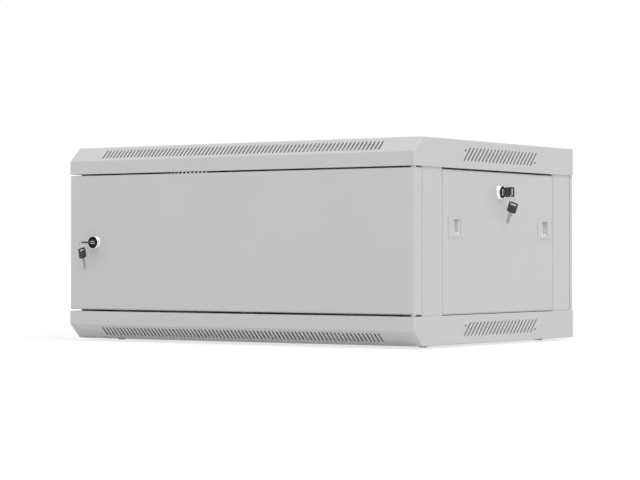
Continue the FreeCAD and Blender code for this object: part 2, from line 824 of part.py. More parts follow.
def rail_bolts():
    wall = S.rail_wall + S.carrier_wall
    radius = S.rail_bolt_radius
    bolt = revolved_fastener("rail_bolt", [(S.rail_bolt_head, dim(0), radius),
                                           (radius, radius, S.rail_bolt_length + wall)])
    nut = hex_nut("rail_nut", 2 * S.rail_bolt_head, radius * S.nut_height_ratio, radius)
    bolts, nuts = [], []
    upright = FreeCAD.Rotation()
    turned = FreeCAD.Rotation(V(0, 1, 0), 180)
    for _name, side, face_y, step in rails:
        x, y = rail_bolt_place(side, face_y, step)
        bolts.append((x, y, rail_z[1] - S.rail_wall - S.rail_bolt_radius, upright))
        bolts.append((x, y, rail_z[0] + S.rail_wall + S.rail_bolt_radius, turned))
        nuts.append((x, y, rail_z[1] + S.carrier_wall, upright))
        nuts.append((x, y, rail_z[0] - S.carrier_wall, turned))
    bolt_set = copies("rail_bolt_set", bolt, bolts)
    nut_set = copies("rail_nut_set", nut, nuts)
    item = doc.addObject("Part::Compound", "rail_bolts_and_nuts")
    item.Links = [bolt_set, nut_set]
    return node("rail_bolts", item)


def hex_nut(name, across, height, bore):
    """A hexagon nut on +Z from the origin."""
    outer = doc.addObject("Part::Prism", f"{name}_hexagon")
    outer.Polygon = 6
    bind(outer, "Circumradius", across / root(dim(3)))
    bind(outer, "Height", height)
    hole = rod(f"{name}_bore", "Z", (0, 0, -height), bore, 3 * height)
    return cut(name, outer, [hole])


rail_bolts()


def cable_entry_plates():
    wide = S.entry_length / 2 + S.plate_border
    deep = S.entry_width / 2 + S.plate_border
    sheet_metal = block("entry_plate_blank", (-wide, wide), (-deep, deep), (0, S.plate_wall))
    x = (S.entry_length + S.plate_border) / 2
    y = (S.entry_width + S.plate_border) / 2
    holes = [rod("entry_plate_hole", "Z", (sx * x, sy * y, -S.plate_wall), S.plate_screw_radius,
                 3 * S.plate_wall) for sx in (-1, 1) for sy in (-1, 1)]
    master = cut("entry_plate", sheet_metal, holes)
    y = back - S.entry_inset
    flat = FreeCAD.Rotation()
    places = [(0, y, top - S.cover_wall - S.plate_wall, flat), (0, y, base + S.cover_wall, flat)]
    return node("cable_entry_plates", copies("entry_plate_set", master, places))


def plate_screws():
    grip = S.plate_wall + S.cover_wall
    screw = revolved_fastener("plate_screw", [(S.plate_screw_head, dim(0), S.plate_screw_radius),
                                              (S.plate_screw_radius, S.plate_screw_radius,
                                               S.plate_screw_radius + grip)])
    upright = FreeCAD.Rotation()
    turned = FreeCAD.Rotation(V(0, 1, 0), 180)
    places = []
    for x, y in plate_screw_places():
        places.append((x, y, top - grip - S.plate_screw_radius, upright))
        places.append((x, y, base + grip + S.plate_screw_radius, turned))
    return node("plate_screws", copies("plate_screw_set", screw, places))


def rear_panel_screws():
    """Screws in the dimples of the rear panel, threaded into the posts."""
    head = S.panel_screw_radius
    grip = S.rear_panel_wall + S.post_wall
    screw = revolved_fastener("rear_screw", [(S.panel_screw_head, -head, dim(0)),
                                             (S.panel_screw_radius, dim(0), grip + S.panel_screw_radius)])
    inward = FreeCAD.Rotation(V(1, 0, 0), 90)
    places = [(x, rear_post[1] + S.rear_panel_wall, z, inward) for x, z in rear_screw_places()]
    return node("rear_panel_screws", copies("rear_screw_set", screw, places))


def feet():
    pad = taper("foot_pad", "Z", (0, 0, 0), S.foot_radius - S.cover_wall / 2, S.foot_radius, S.foot_height)
    plug = rod("foot_plug", "Z", (0, 0, S.foot_height), S.foot_plug_radius, S.cover_wall)
    foot = fuse("foot", [pad, plug])
    places = [(x, y, 0, FreeCAD.Rotation()) for x, y in foot_places()]
    return node("feet", copies("foot_set", foot, places))


def earth_stud():
    """A threaded stud fixed in the floor, with its nut."""
    x, y = earth_places()[0]
    stud = rod("earth_stud_rod", "Z", (x, y, base), S.earth_stud_radius, S.earth_stud_length)
    radius = S.earth_stud_radius
    nut = hex_nut("earth_nut", 2 * S.rail_bolt_head, radius * S.nut_height_ratio, radius)
    move(nut, (x, y, base + S.cover_wall))
    item = doc.addObject("Part::Compound", "earth_stud_and_nut")
    item.Links = [stud, nut]
    return node("earth_stud", item)


cable_entry_plates()
plate_screws()
rear_panel_screws()
feet()
earth_stud()


# Door: a shallow pan with its lock near the left edge and its hinge near the right edge
door_lock = (S.door_lock_inset - door_half, (door_z[0] + door_z[1]) / 2)
lock_hole = S.lock_barrel_radius + S.lock_barrel_clearance


def door_panel():
    name = "door_panel"
    body = new_body(name)
    wall = S.door_wall
    outline = new_sketch(body, f"{name}_outline", "XZ_Plane", -front)
    draw_rectangle(outline, (-door_half, door_half), door_z)
    blank = feature(body, "Pad", f"{name}_blank", outline, S.door_depth, both_ways=False, reverse=True)
    round_edges(body, f"{name}_bends", blank, S.bend, at_place("y", front))
    inside = new_sketch(body, f"{name}_inside", "XZ_Plane", -front - S.door_depth)
    draw_rectangle(inside, (wall - door_half, door_half - wall), (door_z[0] + wall, door_z[1] - wall))
    hollow = feature(body, "Pocket", f"{name}_inside_cut", inside, S.door_depth - wall, both_ways=False,
                     reverse=True)
    round_edges(body, f"{name}_inner_bends", hollow, S.bend - wall, at_place("y", front + wall))
    lock = new_sketch(body, f"{name}_lock_hole", "XZ_Plane", -front)
    draw_circle(lock, door_lock, lock_hole)
    feature(body, "Pocket", f"{name}_lock_hole_cut", lock, 4 * wall)
    pins = new_sketch(body, f"{name}_pin_holes", "XY_Plane", (door_z[0] + door_z[1]) / 2)
    draw_circle(pins, (hinge_x, hinge_y), S.pin_radius + S.pin_clearance)
    feature(body, "Pocket", f"{name}_pin_holes_cut", pins, door_z[1] - door_z[0] + 2 * wall)
    return node(name, body)


def door_stiffener():
    """Upright channel welded to the inside of the door, in its middle."""
    wall = S.door_wall
    zs = (door_z[0] + S.stiffener_margin, door_z[1] - S.stiffener_margin)
    ys = (front + wall, front + wall + S.stiffener_depth)
    blank = block("stiffener_blank", (-S.stiffener_width / 2, S.stiffener_width / 2), ys, zs)
    inside = block("stiffener_inside", (wall - S.stiffener_width / 2, S.stiffener_width / 2 - wall),
                   (ys[0] - wall, ys[1] - wall), (zs[0] - wall, zs[1] + wall))
    return node("door_stiffener", cut("stiffener_channel", blank, [inside]))


def coil(name, at, axis, radius, wire, length, turns):
    """A coil spring with round wire, centred on its axis."""
    spine = doc.addObject("Part::Helix", f"{name}_line")
    bind(spine, "Radius", radius)
    bind(spine, "Height", length - 2 * wire)
    bind(spine, "Pitch", (length - 2 * wire) / turns)
    profile = doc.addObject("Part::Circle", f"{name}_wire")
    bind(profile, "Radius", wire)
    profile.Placement.Rotation = TURNS["Y"]
    bind(profile, "Placement.Base.x", radius)
    item = doc.addObject("Part::Sweep", name)
    item.Sections = [profile]
    item.Spine = (spine, ["Edge1"])
    item.Solid = True
    item.Frenet = True
    return move(item, at, TURNS[axis])


def door_hinge():
    low_flange = base + S.bottom_cover_height - S.cover_wall
    high_flange = top - S.top_cover_height + S.cover_wall
    at = (hinge_x, hinge_y)
    pin = rod("lower_pin", "Z", (*at, low_flange - S.pin_reach), S.pin_radius,
              door_z[0] + S.door_wall + S.pin_reach - low_flange + S.pin_reach)
    collar = rod("lower_collar", "Z", (*at, door_z[0] + S.door_wall), S.collar_radius, S.collar_height)
    node("door_hinge_pin_lower", fuse("lower_pin_turned", [pin, collar]))
    # Upper pin: a spring holds its collar against the door's top return, and a cross handle pulls it down
    collar_z = door_z[1] - S.door_wall - S.collar_height
    ear_z = collar_z - S.hinge_spring_length - S.hinge_bracket_wall
    tip = high_flange + S.pin_reach
    foot = ear_z - S.handle_drop
    pin = rod("upper_pin", "Z", (*at, foot), S.pin_radius, tip - foot)
    collar = rod("upper_collar", "Z", (*at, collar_z), S.collar_radius, S.collar_height)
    handle = rod("upper_handle", "X", (hinge_x - S.handle_length, hinge_y, foot + S.collar_height),
                 S.handle_radius, S.handle_length)
    node("door_hinge_pin_upper", fuse("upper_pin_turned", [pin, collar, handle]))
    spring = coil("upper_spring", (*at, collar_z - S.hinge_spring_length + S.hinge_spring_wire / 2), "Z",
                  (S.pin_radius + S.collar_radius) / 2, S.hinge_spring_wire / 2, S.hinge_spring_length,
                  S.hinge_spring_turns)
    node("door_hinge_spring", spring)
    # Bracket: a plate on the door's inner face with one ear that guides the pin
    reach = S.collar_radius + S.hinge_bracket_wall
    xs = (hinge_x - reach, door_half - S.bend)
    plate = block("bracket_plate", xs, (front + S.door_wall, front + S.door_wall + S.hinge_bracket_wall),
                  (ear_z, collar_z))
    ear = block("bracket_ear", xs, (front + S.door_wall, hinge_y + reach),
                (ear_z, ear_z + S.hinge_bracket_wall))
    hole = rod("bracket_hole", "Z", (*at, ear_z - S.hinge_bracket_wall), S.pin_radius + S.pin_clearance,
               3 * S.hinge_bracket_wall)
    node("door_hinge_bracket", cut("bracket", fuse("bracket_fold", [plate, ear]), [hole]))
    # Washers that fill the gaps between the door and the covers
    gap = S.washer_clearance
    rings = []
    for word, zs in (("low", (base + S.bottom_cover_height, door_z[0] - gap)),
                     ("high", (door_z[1] + gap, top - S.top_cover_height))):
        thick = zs[1] - zs[0]
        disc = rod(f"{word}_washer_disc", "Z", (*at, zs[0]), S.washer_radius, thick)
        hole = rod(f"{word}_washer_hole", "Z", (*at, zs[0] - thick), S.pin_radius + S.pin_clearance,
                   3 * thick)
        rings.append(cut(f"{word}_washer", disc, [hole]))
    item = doc.addObject("Part::Compound", "hinge_washer_pair")
    item.Links = rings
    node("hinge_washers", item)


door_panel()
door_stiffener()
door_hinge()


# Side panels: pans that fill the space between the posts, held by one lock and two slide latches
side_lock = (panel_middle, panel_z[1] - S.side_lock_drop)
latches = (("front", -1, panel_y[0] + S.front_latch_inset), ("rear", 1, panel_y[1] - S.rear_latch_inset))


finger_half = S.finger_length / 2
slider_span = (-finger_half - S.latch_travel, finger_half + S.slider_lap)
slider_height = S.latch_window_height + 2 * S.slider_edge
cavity_span = (slider_span[0] - S.latch_spring_length, slider_span[1] + S.slider_play)
cavity_height = slider_height + 2 * S.slider_play
shell_span = (cavity_span[0] - S.latch_wall, cavity_span[1] + S.latch_wall)
shell_height = cavity_height + 2 * S.latch_wall
slider_back = S.slider_play + S.slider_depth


def around_latch(height, level=latch_z):
    return level - height / 2, level + height / 2


def side_panel(name, side):
    body = new_body(name)
    wall = S.panel_wall
    inward = side > 0
    outline = new_sketch(body, f"{name}_outline", "YZ_Plane", side * skin)
    draw_rectangle(outline, panel_y, panel_z)
    blank = feature(body, "Pad", f"{name}_blank", outline, panel_depth, both_ways=False, reverse=inward)
    round_edges(body, f"{name}_bends", blank, S.bend, at_place("x", side * skin))
    inside = new_sketch(body, f"{name}_inside", "YZ_Plane", side * (skin - panel_depth))
    draw_rectangle(inside, (panel_y[0] + wall, panel_y[1] - wall), (panel_z[0] + wall, panel_z[1] - wall))
    hollow = feature(body, "Pocket", f"{name}_inside_cut", inside, panel_depth - wall, both_ways=False,
                     reverse=inward)
    round_edges(body, f"{name}_inner_bends", hollow, S.bend - wall, at_place("x", side * (skin - wall)))
    # Holes for the lock and for the two latch housings
    holes = new_sketch(body, f"{name}_holes", "YZ_Plane", side * skin)
    draw_circle(holes, side_lock, lock_hole)
    room = S.slider_play / 2
    for _end, way, centre in latches:
        draw_rectangle(holes, (centre + way * (shell_span[0] - room), centre + way * (shell_span[1] + room)),
                       around_latch(shell_height + 2 * room))
    feature(body, "Pocket", f"{name}_holes_cut", holes, 4 * wall)
    # Holes for the latch tongues in the front and rear returns
    tongues = new_sketch(body, f"{name}_tongue_holes", "XZ_Plane", -panel_middle)
    draw_rectangle(tongues, tongue_xs(side), tongue_zs())
    feature(body, "Pocket", f"{name}_tongue_holes_cut", tongues, panel_y[1] - panel_y[0] + 2 * wall)
    return node(name, body)


def latch_set(word, side):
    """Two snap-in housings, each with a sprung slider whose tongue enters the post."""
    play = S.slider_play

    def xs(outer, inner):
        return side * (skin + outer), side * (skin - inner)

    housings = []
    for end, way, centre in latches:
        def ys(span):
            return centre + way * span[0], centre + way * span[1]

        name = f"{end}_latch_{word}"
        plate = block(f"{name}_plate", xs(S.latch_proud, 0), ys((-S.latch_length / 2, S.latch_length / 2)),
                      around_latch(S.latch_height))
        shell = block(f"{name}_shell", xs(0, slider_back + play + S.latch_wall), ys(shell_span),
                      around_latch(shell_height))
        cavity = block(f"{name}_cavity", xs(0, slider_back + play), ys(cavity_span),
                       around_latch(cavity_height))
        window = block(f"{name}_window", xs(2 * S.latch_proud, play),
                       ys((slider_span[0] + S.slider_edge, finger_half)), around_latch(S.latch_window_height))
        gate = block(f"{name}_gate", tongue_xs(side), ys((slider_span[1], shell_span[1] + play)), tongue_zs())
        moulding = fuse(f"{name}_moulding", [plate, shell])
        housings.append(cut(f"{name}_housing", moulding, [cavity, window, gate]))
        # Slider: a block with a finger recess and a tongue
        slide = block(f"{name}_slide", xs(-play, slider_back), ys(slider_span), around_latch(slider_height))
        panel_end = way * ((panel_y[0] if way < 0 else panel_y[1]) - centre)
        tip = panel_end + S.panel_gap_side + S.post_wall + S.tongue_reach
        tongue = block(f"{name}_tongue", xs(S.tongue_thickness - slider_back, slider_back),
                       ys((slider_span[1], tip)), around_latch(S.tongue_height))
        finger = block(f"{name}_finger", xs(play, play + S.finger_depth), ys((-finger_half, finger_half)),
                       around_latch(S.finger_height, latch_z + S.finger_rise))
        slider = cut(f"{name}_slider", fuse(f"{name}_slider_blank", [slide, tongue]), [finger])
        node(f"latch_slider_{end}_{word}", slider)
        # Spring between the slider and the end of the cavity
        start = sorted(ys((cavity_span[0], slider_span[0])), key=lambda place: place.value)[0]
        at = (side * (skin - play - S.slider_depth / 2), start + S.latch_spring_wire / 2, latch_z)
        spring = coil(f"{name}_spring", at, "Y", S.latch_spring_radius, S.latch_spring_wire / 2,
                      S.latch_spring_length, S.latch_spring_turns)
        node(f"latch_spring_{end}_{word}", spring)
    item = doc.addObject("Part::Compound", f"latch_housing_pair_{word}")
    item.Links = housings
    node(f"latch_housings_{word}", item)


for side, word in ((-1, "left"), (1, "right")):
    side_panel(f"side_panel_{word}", side)
    latch_set(word, side)


# Locks and keys. Each piece is made about its own axis along +Y, with the sheet's outer face on y = 0.
def key_blank(name):
    """A key along +Y: its bow flat on z = 0, its shoulder where the lock's face is."""
    body = new_body(name)
    shoulder = -S.lock_head
    bow_end = shoulder - S.neck_length
    bow_start = bow_end - S.bow_length
    wide = S.bow_width / 2
    bow = new_sketch(body, f"{name}_bow", "XY_Plane")
    corner = S.bow_corner
    draw_polygon(bow, [(corner - wide, bow_start), (wide - corner, bow_start), (wide, bow_start + corner),
                       (wide, bow_end - corner), (wide - corner, bow_end), (corner - wide, bow_end),
                       (-wide, bow_end - corner), (-wide, bow_start + corner)])
    feature(body, "Pad", f"{name}_bow_pad", bow, S.bow_thickness)
    hole = new_sketch(body, f"{name}_hole", "XY_Plane")
    reach = (S.bow_slot_length - S.bow_slot_width) / 2
    level = bow_start + S.bow_slot_inset
    draw_slot(hole, (-reach, level), (reach, level), S.bow_slot_width / 2)
    feature(body, "Pocket", f"{name}_hole_cut", hole, 2 * S.bow_thickness)
    blade = new_sketch(body, f"{name}_blade", "XY_Plane")
    tip = shoulder + S.blade_length
    chamfer = S.blade_width / 4
    edge = S.blade_width / 2
    draw_polygon(blade, [(-edge, bow_end - corner), (edge, bow_end - corner), (edge, tip - chamfer),
                         (edge - chamfer, tip), (chamfer - edge, tip), (-edge, tip - chamfer)])
    feature(body, "Pad", f"{name}_blade_pad", blade, S.blade_thickness)
    return body


def lock_parts(word, grip, cam_reach, cam_way, key_turn):
    """Body, nut, plug, cam and key of one lock; cam_way is the cam's direction at rest as (x, z)."""
    head = taper(f"{word}_head", "Y", (0, -S.lock_head, 0), S.lock_rim_radius, S.lock_head_radius,
                 S.lock_head)
    barrel = rod(f"{word}_barrel", "Y", (0, 0, 0), S.lock_barrel_radius, grip)
    play = S.pin_clearance
    bore = rod(f"{word}_bore", "Y", (0, -2 * S.lock_head, 0), S.plug_radius + play,
               2 * S.lock_head + 2 * grip)
    recess = rod(f"{word}_recess", "Y", (0, -2 * S.lock_head, 0), S.lock_face_radius + play,
                 S.lock_head + S.lock_face_depth)
    body = cut(f"{word}_body", fuse(f"{word}_casting", [head, barrel]), [bore, recess])
    nut = hex_nut(f"{word}_nut_along_z", S.lock_nut_width, S.lock_nut_height, S.lock_barrel_radius)
    face = rod(f"{word}_plug_face", "Y", (0, -S.lock_head, 0), S.lock_face_radius, S.lock_face_depth)
    core = rod(f"{word}_core", "Y", (0, -S.lock_head, 0), S.plug_radius, S.lock_head + grip + play)
    tail_start = grip + play
    tail = block(f"{word}_tail", (-S.tail_width / 2, S.tail_width / 2), (tail_start, tail_start + S.cam_wall),
                 (-S.tail_width / 2, S.tail_width / 2))
    rivet = rod(f"{word}_rivet", "Y", (0, tail_start + S.cam_wall, 0), S.tail_head_radius, S.tail_head_height)
    gap = S.keyway_clearance
    wide = S.blade_width / 2 + gap
    thick = S.blade_thickness / 2 + gap
    wides, thicks = (-wide, wide), (-thick, thick)
    keyway = block(f"{word}_keyway", wides if key_turn == 0 else thicks,
                   (-2 * S.lock_head, S.blade_length - S.lock_head + gap), thicks if key_turn == 0 else wides)
    plug = cut(f"{word}_plug", fuse(f"{word}_plug_turned", [face, core, tail, rivet]), [keyway])
    # The cam is a flat bar with one round end about the axis and a square hole on the tail
    half_cam = S.cam_width / 2
    across = (-half_cam, half_cam)
    along = (dim(0), cam_reach * (cam_way[0] + cam_way[1]))
    xs, zs = (along, across) if cam_way[0] else (across, along)
    arm = block(f"{word}_cam_arm", xs, (tail_start, tail_start + S.cam_wall), zs)
    eye = rod(f"{word}_cam_eye", "Y", (0, tail_start, 0), half_cam, S.cam_wall)
    flats = (-S.tail_width / 2, S.tail_width / 2)
    square = block(f"{word}_cam_square", flats, (tail_start - S.cam_wall, tail_start + 2 * S.cam_wall), flats)
    cam = cut(f"{word}_cam", fuse(f"{word}_cam_blank", [arm, eye]), [square])
    key = key_blank(f"{word}_key")
    return body, nut, plug, cam, key


def spin(angle):
    return FreeCAD.Rotation(V(0, 1, 0), angle)


def set_lock(word, at, facing, grip, wall, cam_reach, cam_way, key_turn, tilt):
    """Puts one lock's pieces at a point of the sheet; facing turns local +Y into the cabinet."""
    body, nut, plug, cam, key = lock_parts(word, grip, cam_reach, cam_way, key_turn)
    for part, piece in (("lock_body", body), ("lock_plug", plug), ("lock_cam", cam)):
        node(f"{word}_{part}", move(piece, at, facing))
    node(f"{word}_lock_nut", move(nut, shifted(at, facing, (0, wall, 0)), facing.multiply(TURNS["Y"])))
    node(f"{word}_key", move(key, at, facing.multiply(spin(key_turn))))
    # The ring hangs on the web beside the bow's slot, clear of it in every position of the key
    slot_y = S.bow_slot_inset - key_reach
    inner = S.ring_radius - S.ring_wire - S.ring_clearance
    web = (S.bow_width - S.bow_slot_length) / 2
    web_middle = (S.bow_width + S.bow_slot_length) / 4
    drop = inner - root(web * web + S.bow_thickness * S.bow_thickness) / 2
    ring_at = (-web_middle, slot_y, -drop) if key_turn == 0 else (dim(0), slot_y, -web_middle - drop)
    ring = doc.addObject("Part::Torus", f"{word}_ring")
    bind(ring, "Radius1", S.ring_radius)
    bind(ring, "Radius2", S.ring_wire)
    node(f"{word}_key_ring", move(ring, shifted(at, facing, ring_at), facing.multiply(TURNS["Y"])))
    # The spare key hangs on the ring's lowest point, with its bow across the ring
    spare = key_blank(f"{word}_spare")
    hang = FreeCAD.Rotation(V(1, 0, 0), tilt.value - 90).multiply(spin(90))
    held = ring_in_spare - key_reach
    local = (ring_at[0],
             ring_at[1] - held * sine(tilt) - S.spare_offset * cosine(tilt),
             ring_at[2] - S.ring_radius + held * cosine(tilt) - S.spare_offset * sine(tilt))
    node(f"{word}_spare_key", move(spare, shifted(at, facing, local), facing.multiply(hang)))


def shifted(at, facing, local):
    """The place of a point given in a lock's own frame."""
    columns = [facing.multVec(axis) for axis in (V(1, 0, 0), V(0, 1, 0), V(0, 0, 1))]
    place = []
    for row in range(3):
        total = dim(at[row])
        for column, size in zip(columns, local):
            weight = round(column[row])
            if weight:
                total = total + weight * dim(size)
        place.append(total)
    return place


door_grip = S.front_post_start + S.post_wall + S.catch_clearance
side_grip = panel_depth + S.catch_clearance
set_lock("door", (door_lock[0], front, door_lock[1]), FreeCAD.Rotation(), door_grip, S.door_wall,
         S.door_cam_reach, (0, 1), 0, S.door_spare_tilt)
set_lock("side_right", (skin, *side_lock), FreeCAD.Rotation(V(0, 0, 1), 90), side_grip, S.panel_wall,
         S.side_cam_reach, (1, 0), 90, S.side_spare_tilt)
set_lock("side_left", (-skin, *side_lock), FreeCAD.Rotation(V(0, 0, 1), -90), side_grip, S.panel_wall,
         S.side_cam_reach, (-1, 0), 90, S.side_spare_tilt)

# Checks and files
doc.recompute()
faults = [item.Name for item in doc.Objects if "Invalid" in item.State or "Error" in item.State]
for name, item in nodes.items():
    if item.Shape.isNull() or not item.Shape.isValid() or not item.Shape.Solids:
        faults.append(name)
if faults:
    raise RuntimeError(f"Pieces that failed: {faults}")
os.makedirs("parts", exist_ok=True)
for name, item in nodes.items():
    item.Shape.exportStep(f"parts/{name}.step")
print(len(nodes), "nodes,", sum(len(item.Shape.Solids) for item in nodes.values()), "solids")
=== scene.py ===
import math

import bmesh
import bpy
from mathutils import Matrix, Vector


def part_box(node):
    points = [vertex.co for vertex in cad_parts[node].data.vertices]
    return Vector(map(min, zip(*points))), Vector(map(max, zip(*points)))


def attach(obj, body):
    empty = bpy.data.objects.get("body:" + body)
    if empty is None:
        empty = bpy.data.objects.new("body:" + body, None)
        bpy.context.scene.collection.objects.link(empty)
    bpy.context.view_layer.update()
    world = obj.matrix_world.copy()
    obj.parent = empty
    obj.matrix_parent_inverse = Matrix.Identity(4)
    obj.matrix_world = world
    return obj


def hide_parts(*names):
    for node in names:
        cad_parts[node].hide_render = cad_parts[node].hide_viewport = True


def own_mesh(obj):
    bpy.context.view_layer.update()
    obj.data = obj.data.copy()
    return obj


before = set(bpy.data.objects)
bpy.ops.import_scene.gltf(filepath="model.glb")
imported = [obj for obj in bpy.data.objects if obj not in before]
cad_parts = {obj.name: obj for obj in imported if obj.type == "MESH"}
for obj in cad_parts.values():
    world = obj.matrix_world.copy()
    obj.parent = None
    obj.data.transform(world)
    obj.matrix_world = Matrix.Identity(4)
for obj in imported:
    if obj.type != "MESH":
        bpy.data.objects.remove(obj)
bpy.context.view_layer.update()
MM = 0.001


# Camera: stands to the right of the cabinet, level with its middle, and looks a little up.
# Its long lens keeps the upright edges parallel, as in the photograph.
SENSOR_WIDTH, FOCAL_LENGTH, NEAREST = 36.0, 124.45, 0.01
CAMERA_PLACE = (1.852356, -2.709120, 0.123400)
CAMERA_RISE, CAMERA_TURN = 90.4402, 34.2962
view = bpy.data.cameras.new("photographer")
view.sensor_width = SENSOR_WIDTH
view.lens = FOCAL_LENGTH
view.clip_start = NEAREST
camera = bpy.data.objects.new("photographer", view)
camera.location = CAMERA_PLACE
camera.rotation_euler = (math.radians(CAMERA_RISE), 0.0, math.radians(CAMERA_TURN))
bpy.context.scene.collection.objects.link(camera)
bpy.context.scene.camera = camera


# Finishes: every material is a small tree, built by these functions. Pitches and depths are in millimetres.
def colour(code):
    """An sRGB hex colour in Blender's linear values."""
    parts = [int(code[start:start + 2], 16) / 255 for start in (1, 3, 5)]
    return (*[part / 12.92 if part <= 0.04045 else ((part + 0.055) / 1.055) ** 2.4 for part in parts], 1.0)


def add(tree, kind, inputs=None, **settings):
    """One node with its settings, and the values or links of its inputs."""
    item = tree.nodes.new(kind)
    for name, value in settings.items():
        setattr(item, name, value)
    for name, value in (inputs or {}).items():
        if isinstance(value, bpy.types.NodeSocket):
            tree.links.new(value, item.inputs[name])
        else:
            item.inputs[name].default_value = value
    return item


def blank_material(name):
    """A material and its tree, with nothing in it yet."""
    material = bpy.data.materials.new(name)
    material.use_nodes = True
    material.node_tree.nodes.clear()
    return material, material.node_tree


def noise(tree, pitch, detail):
    """A noise in the object's own space, its crests a pitch apart."""
    place = add(tree, "ShaderNodeTexCoord").outputs["Object"]
    texture = add(tree, "ShaderNodeTexNoise", {"Vector": place, "Scale": 1 / (pitch * MM), "Detail": detail})
    return texture.outputs["Fac"]


def shade(tree, factor, first, second):
    """A colour that moves between two tones."""
    tones = {"Factor": factor, "A": colour(first), "B": colour(second)}
    return add(tree, "ShaderNodeMix", tones, data_type="RGBA").outputs["Result"]


def gloss(tree, factor, smooth, rough):
    """A roughness that moves between two values."""
    span = add(tree, "ShaderNodeMapRange", {"Value": factor, "To Min": smooth, "To Max": rough})
    return span.outputs["Result"]


def relief(tree, height, strength, depth):
    """The normals of a surface that this height makes uneven."""
    bump = add(tree, "ShaderNodeBump", {"Height": height, "Strength": strength, "Distance": depth * MM})
    return bump.outputs["Normal"]


def surfaced(tree, inputs):
    """Ends a tree in one surface with these inputs."""
    surface = add(tree, "ShaderNodeBsdfPrincipled", inputs)
    add(tree, "ShaderNodeOutputMaterial", {"Surface": surface.outputs["BSDF"]})


def plated(name, tone, pitch, detail, smooth, rough):
    """Metal of one tone, whose gloss wanders with a noise."""
    material, tree = blank_material(name)
    wander = noise(tree, pitch, detail)
    surfaced(tree, {"Base Color": colour(tone), "Metallic": 1.0,
                    "Roughness": gloss(tree, wander, smooth, rough)})
    return material


def moulded(name, first, second, pitch, detail, roughness, ior, strength, depth):
    """A moulded material, whose grain moves its shade and makes its surface uneven."""
    material, tree = blank_material(name)
    grain = noise(tree, pitch, detail)
    surfaced(tree, {"Base Color": shade(tree, grain, first, second), "Roughness": roughness, "IOR": ior,
                    "Normal": relief(tree, grain, strength, depth)})
    return material


def dress(names, material):
    """Gives the CAD nodes their finish."""
    for name in names:
        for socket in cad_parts[name].material_slots:
            socket.material = material


# Polyester powder coat, light grey: half-matt, with the soft orange peel of a melted powder.
# The peel is 1.1 mm from crest to crest; the shade wanders by a hundredth over a hand's width.
powder_coat, tree = blank_material("powder_coat_light_grey")
cloud = noise(tree, pitch=90, detail=2.0)
peel = noise(tree, pitch=1.1, detail=1.0)
surfaced(tree, {"Base Color": shade(tree, cloud, "#C6C6C6", "#C9C9C9"), "IOR": 1.5,
                "Roughness": gloss(tree, peel, smooth=0.42, rough=0.52),
                "Normal": relief(tree, peel, strength=0.25, depth=0.03)})

# Bright zinc plate, which has a faint mottle.
MOTTLE_PITCH = 1.5
zinc_plate, tree = blank_material("bright_zinc_plated_steel")
place = add(tree, "ShaderNodeTexCoord").outputs["Object"]
cells = add(tree, "ShaderNodeTexVoronoi", {"Vector": place, "Scale": 1 / (MOTTLE_PITCH * MM)})
mottle = cells.outputs["Distance"]
surfaced(tree, {"Base Color": shade(tree, mottle, "#C9CBCE", "#B4B6BA"), "Metallic": 1.0,
                "Roughness": gloss(tree, mottle, smooth=0.26, rough=0.40)})


# Covers: roof and floor, each folded from one 1.5 mm steel sheet with a sloped front edge.
# Slots for air are laser-cut along the slope and both sides, then the sheet is powder coated.
dress(["top_cover", "bottom_cover"], powder_coat)

# Posts, rear panel, rack rails and carriers: folded sheet steel with the same coat as the covers.
dress([f"{end}_post_{side}" for end in ("front", "rear") for side in ("left", "right")], powder_coat)
dress([f"rack_rail_{end}_{side}" for end in ("front", "rear") for side in ("left", "right")], powder_coat)
dress(["rear_panel", "rail_carriers", "cable_entry_plates"], powder_coat)


# Meshes: turned pieces, threads, boxes, and what a geometry tree makes of its inputs.
def new_object(name, mesh):
    """An object in the scene, from a mesh or a curve."""
    item = bpy.data.objects.new(name, mesh)
    bpy.context.scene.collection.objects.link(item)
    return item


def new_mesh(name, shape):
    """The mesh of a finished bmesh."""
    mesh = bpy.data.meshes.new(name)
    shape.to_mesh(mesh)
    shape.free()
    return mesh


def ring_of_points(shape, radius, height, count):
    """Points on a circle about Z, in millimetres."""
    return [shape.verts.new((radius * MM * math.cos(turn), radius * MM * math.sin(turn), height * MM))
            for turn in [2 * math.pi * step / count for step in range(count)]]


def turned(name, outline, facets, closed=False):
    """A mesh turned about Z from (radius, height) points in millimetres; a closed outline makes a ring."""
    shape = bmesh.new()
    rings = []
    for radius, height in outline:
        if radius == 0:
            rings.append([shape.verts.new((0, 0, height * MM))])
        else:
            rings.append(ring_of_points(shape, radius, height, facets))
    pairs = list(zip(rings, rings[1:])) + ([(rings[-1], rings[0])] if closed else [])
    for low, high in pairs:
        for step in range(facets):
            after = (step + 1) % facets
            corners = [low[step % len(low)], low[after % len(low)],
                       high[after % len(high)], high[step % len(high)]]
            corners = [corner for place, corner in enumerate(corners) if corner not in corners[:place]]
            shape.faces.new(corners)
    bmesh.ops.recalc_face_normals(shape, faces=shape.faces)
    return new_mesh(name, shape)


def threaded(radius, start, end, pitch, depth):
    """Outline points of a cut thread between two heights, as rings a pitch apart."""
    turns = max(1, int(abs(end - start) / pitch))
    step = (end - start) / turns
    points = []
    for turn in range(turns):
        points += [(radius - depth, start + step * turn), (radius, start + step * (turn + 0.5))]
    return points + [(radius - depth, end)]


def block(name, size, centre):
    """A box of the given size about its centre, in millimetres."""
    shape = bmesh.new()
    bmesh.ops.create_cube(shape, size=1.0, matrix=Matrix.Translation(Vector(centre) * MM)
                          @ Matrix.Diagonal((*[length * MM for length in size], 1.0)))
    return new_mesh(name, shape)


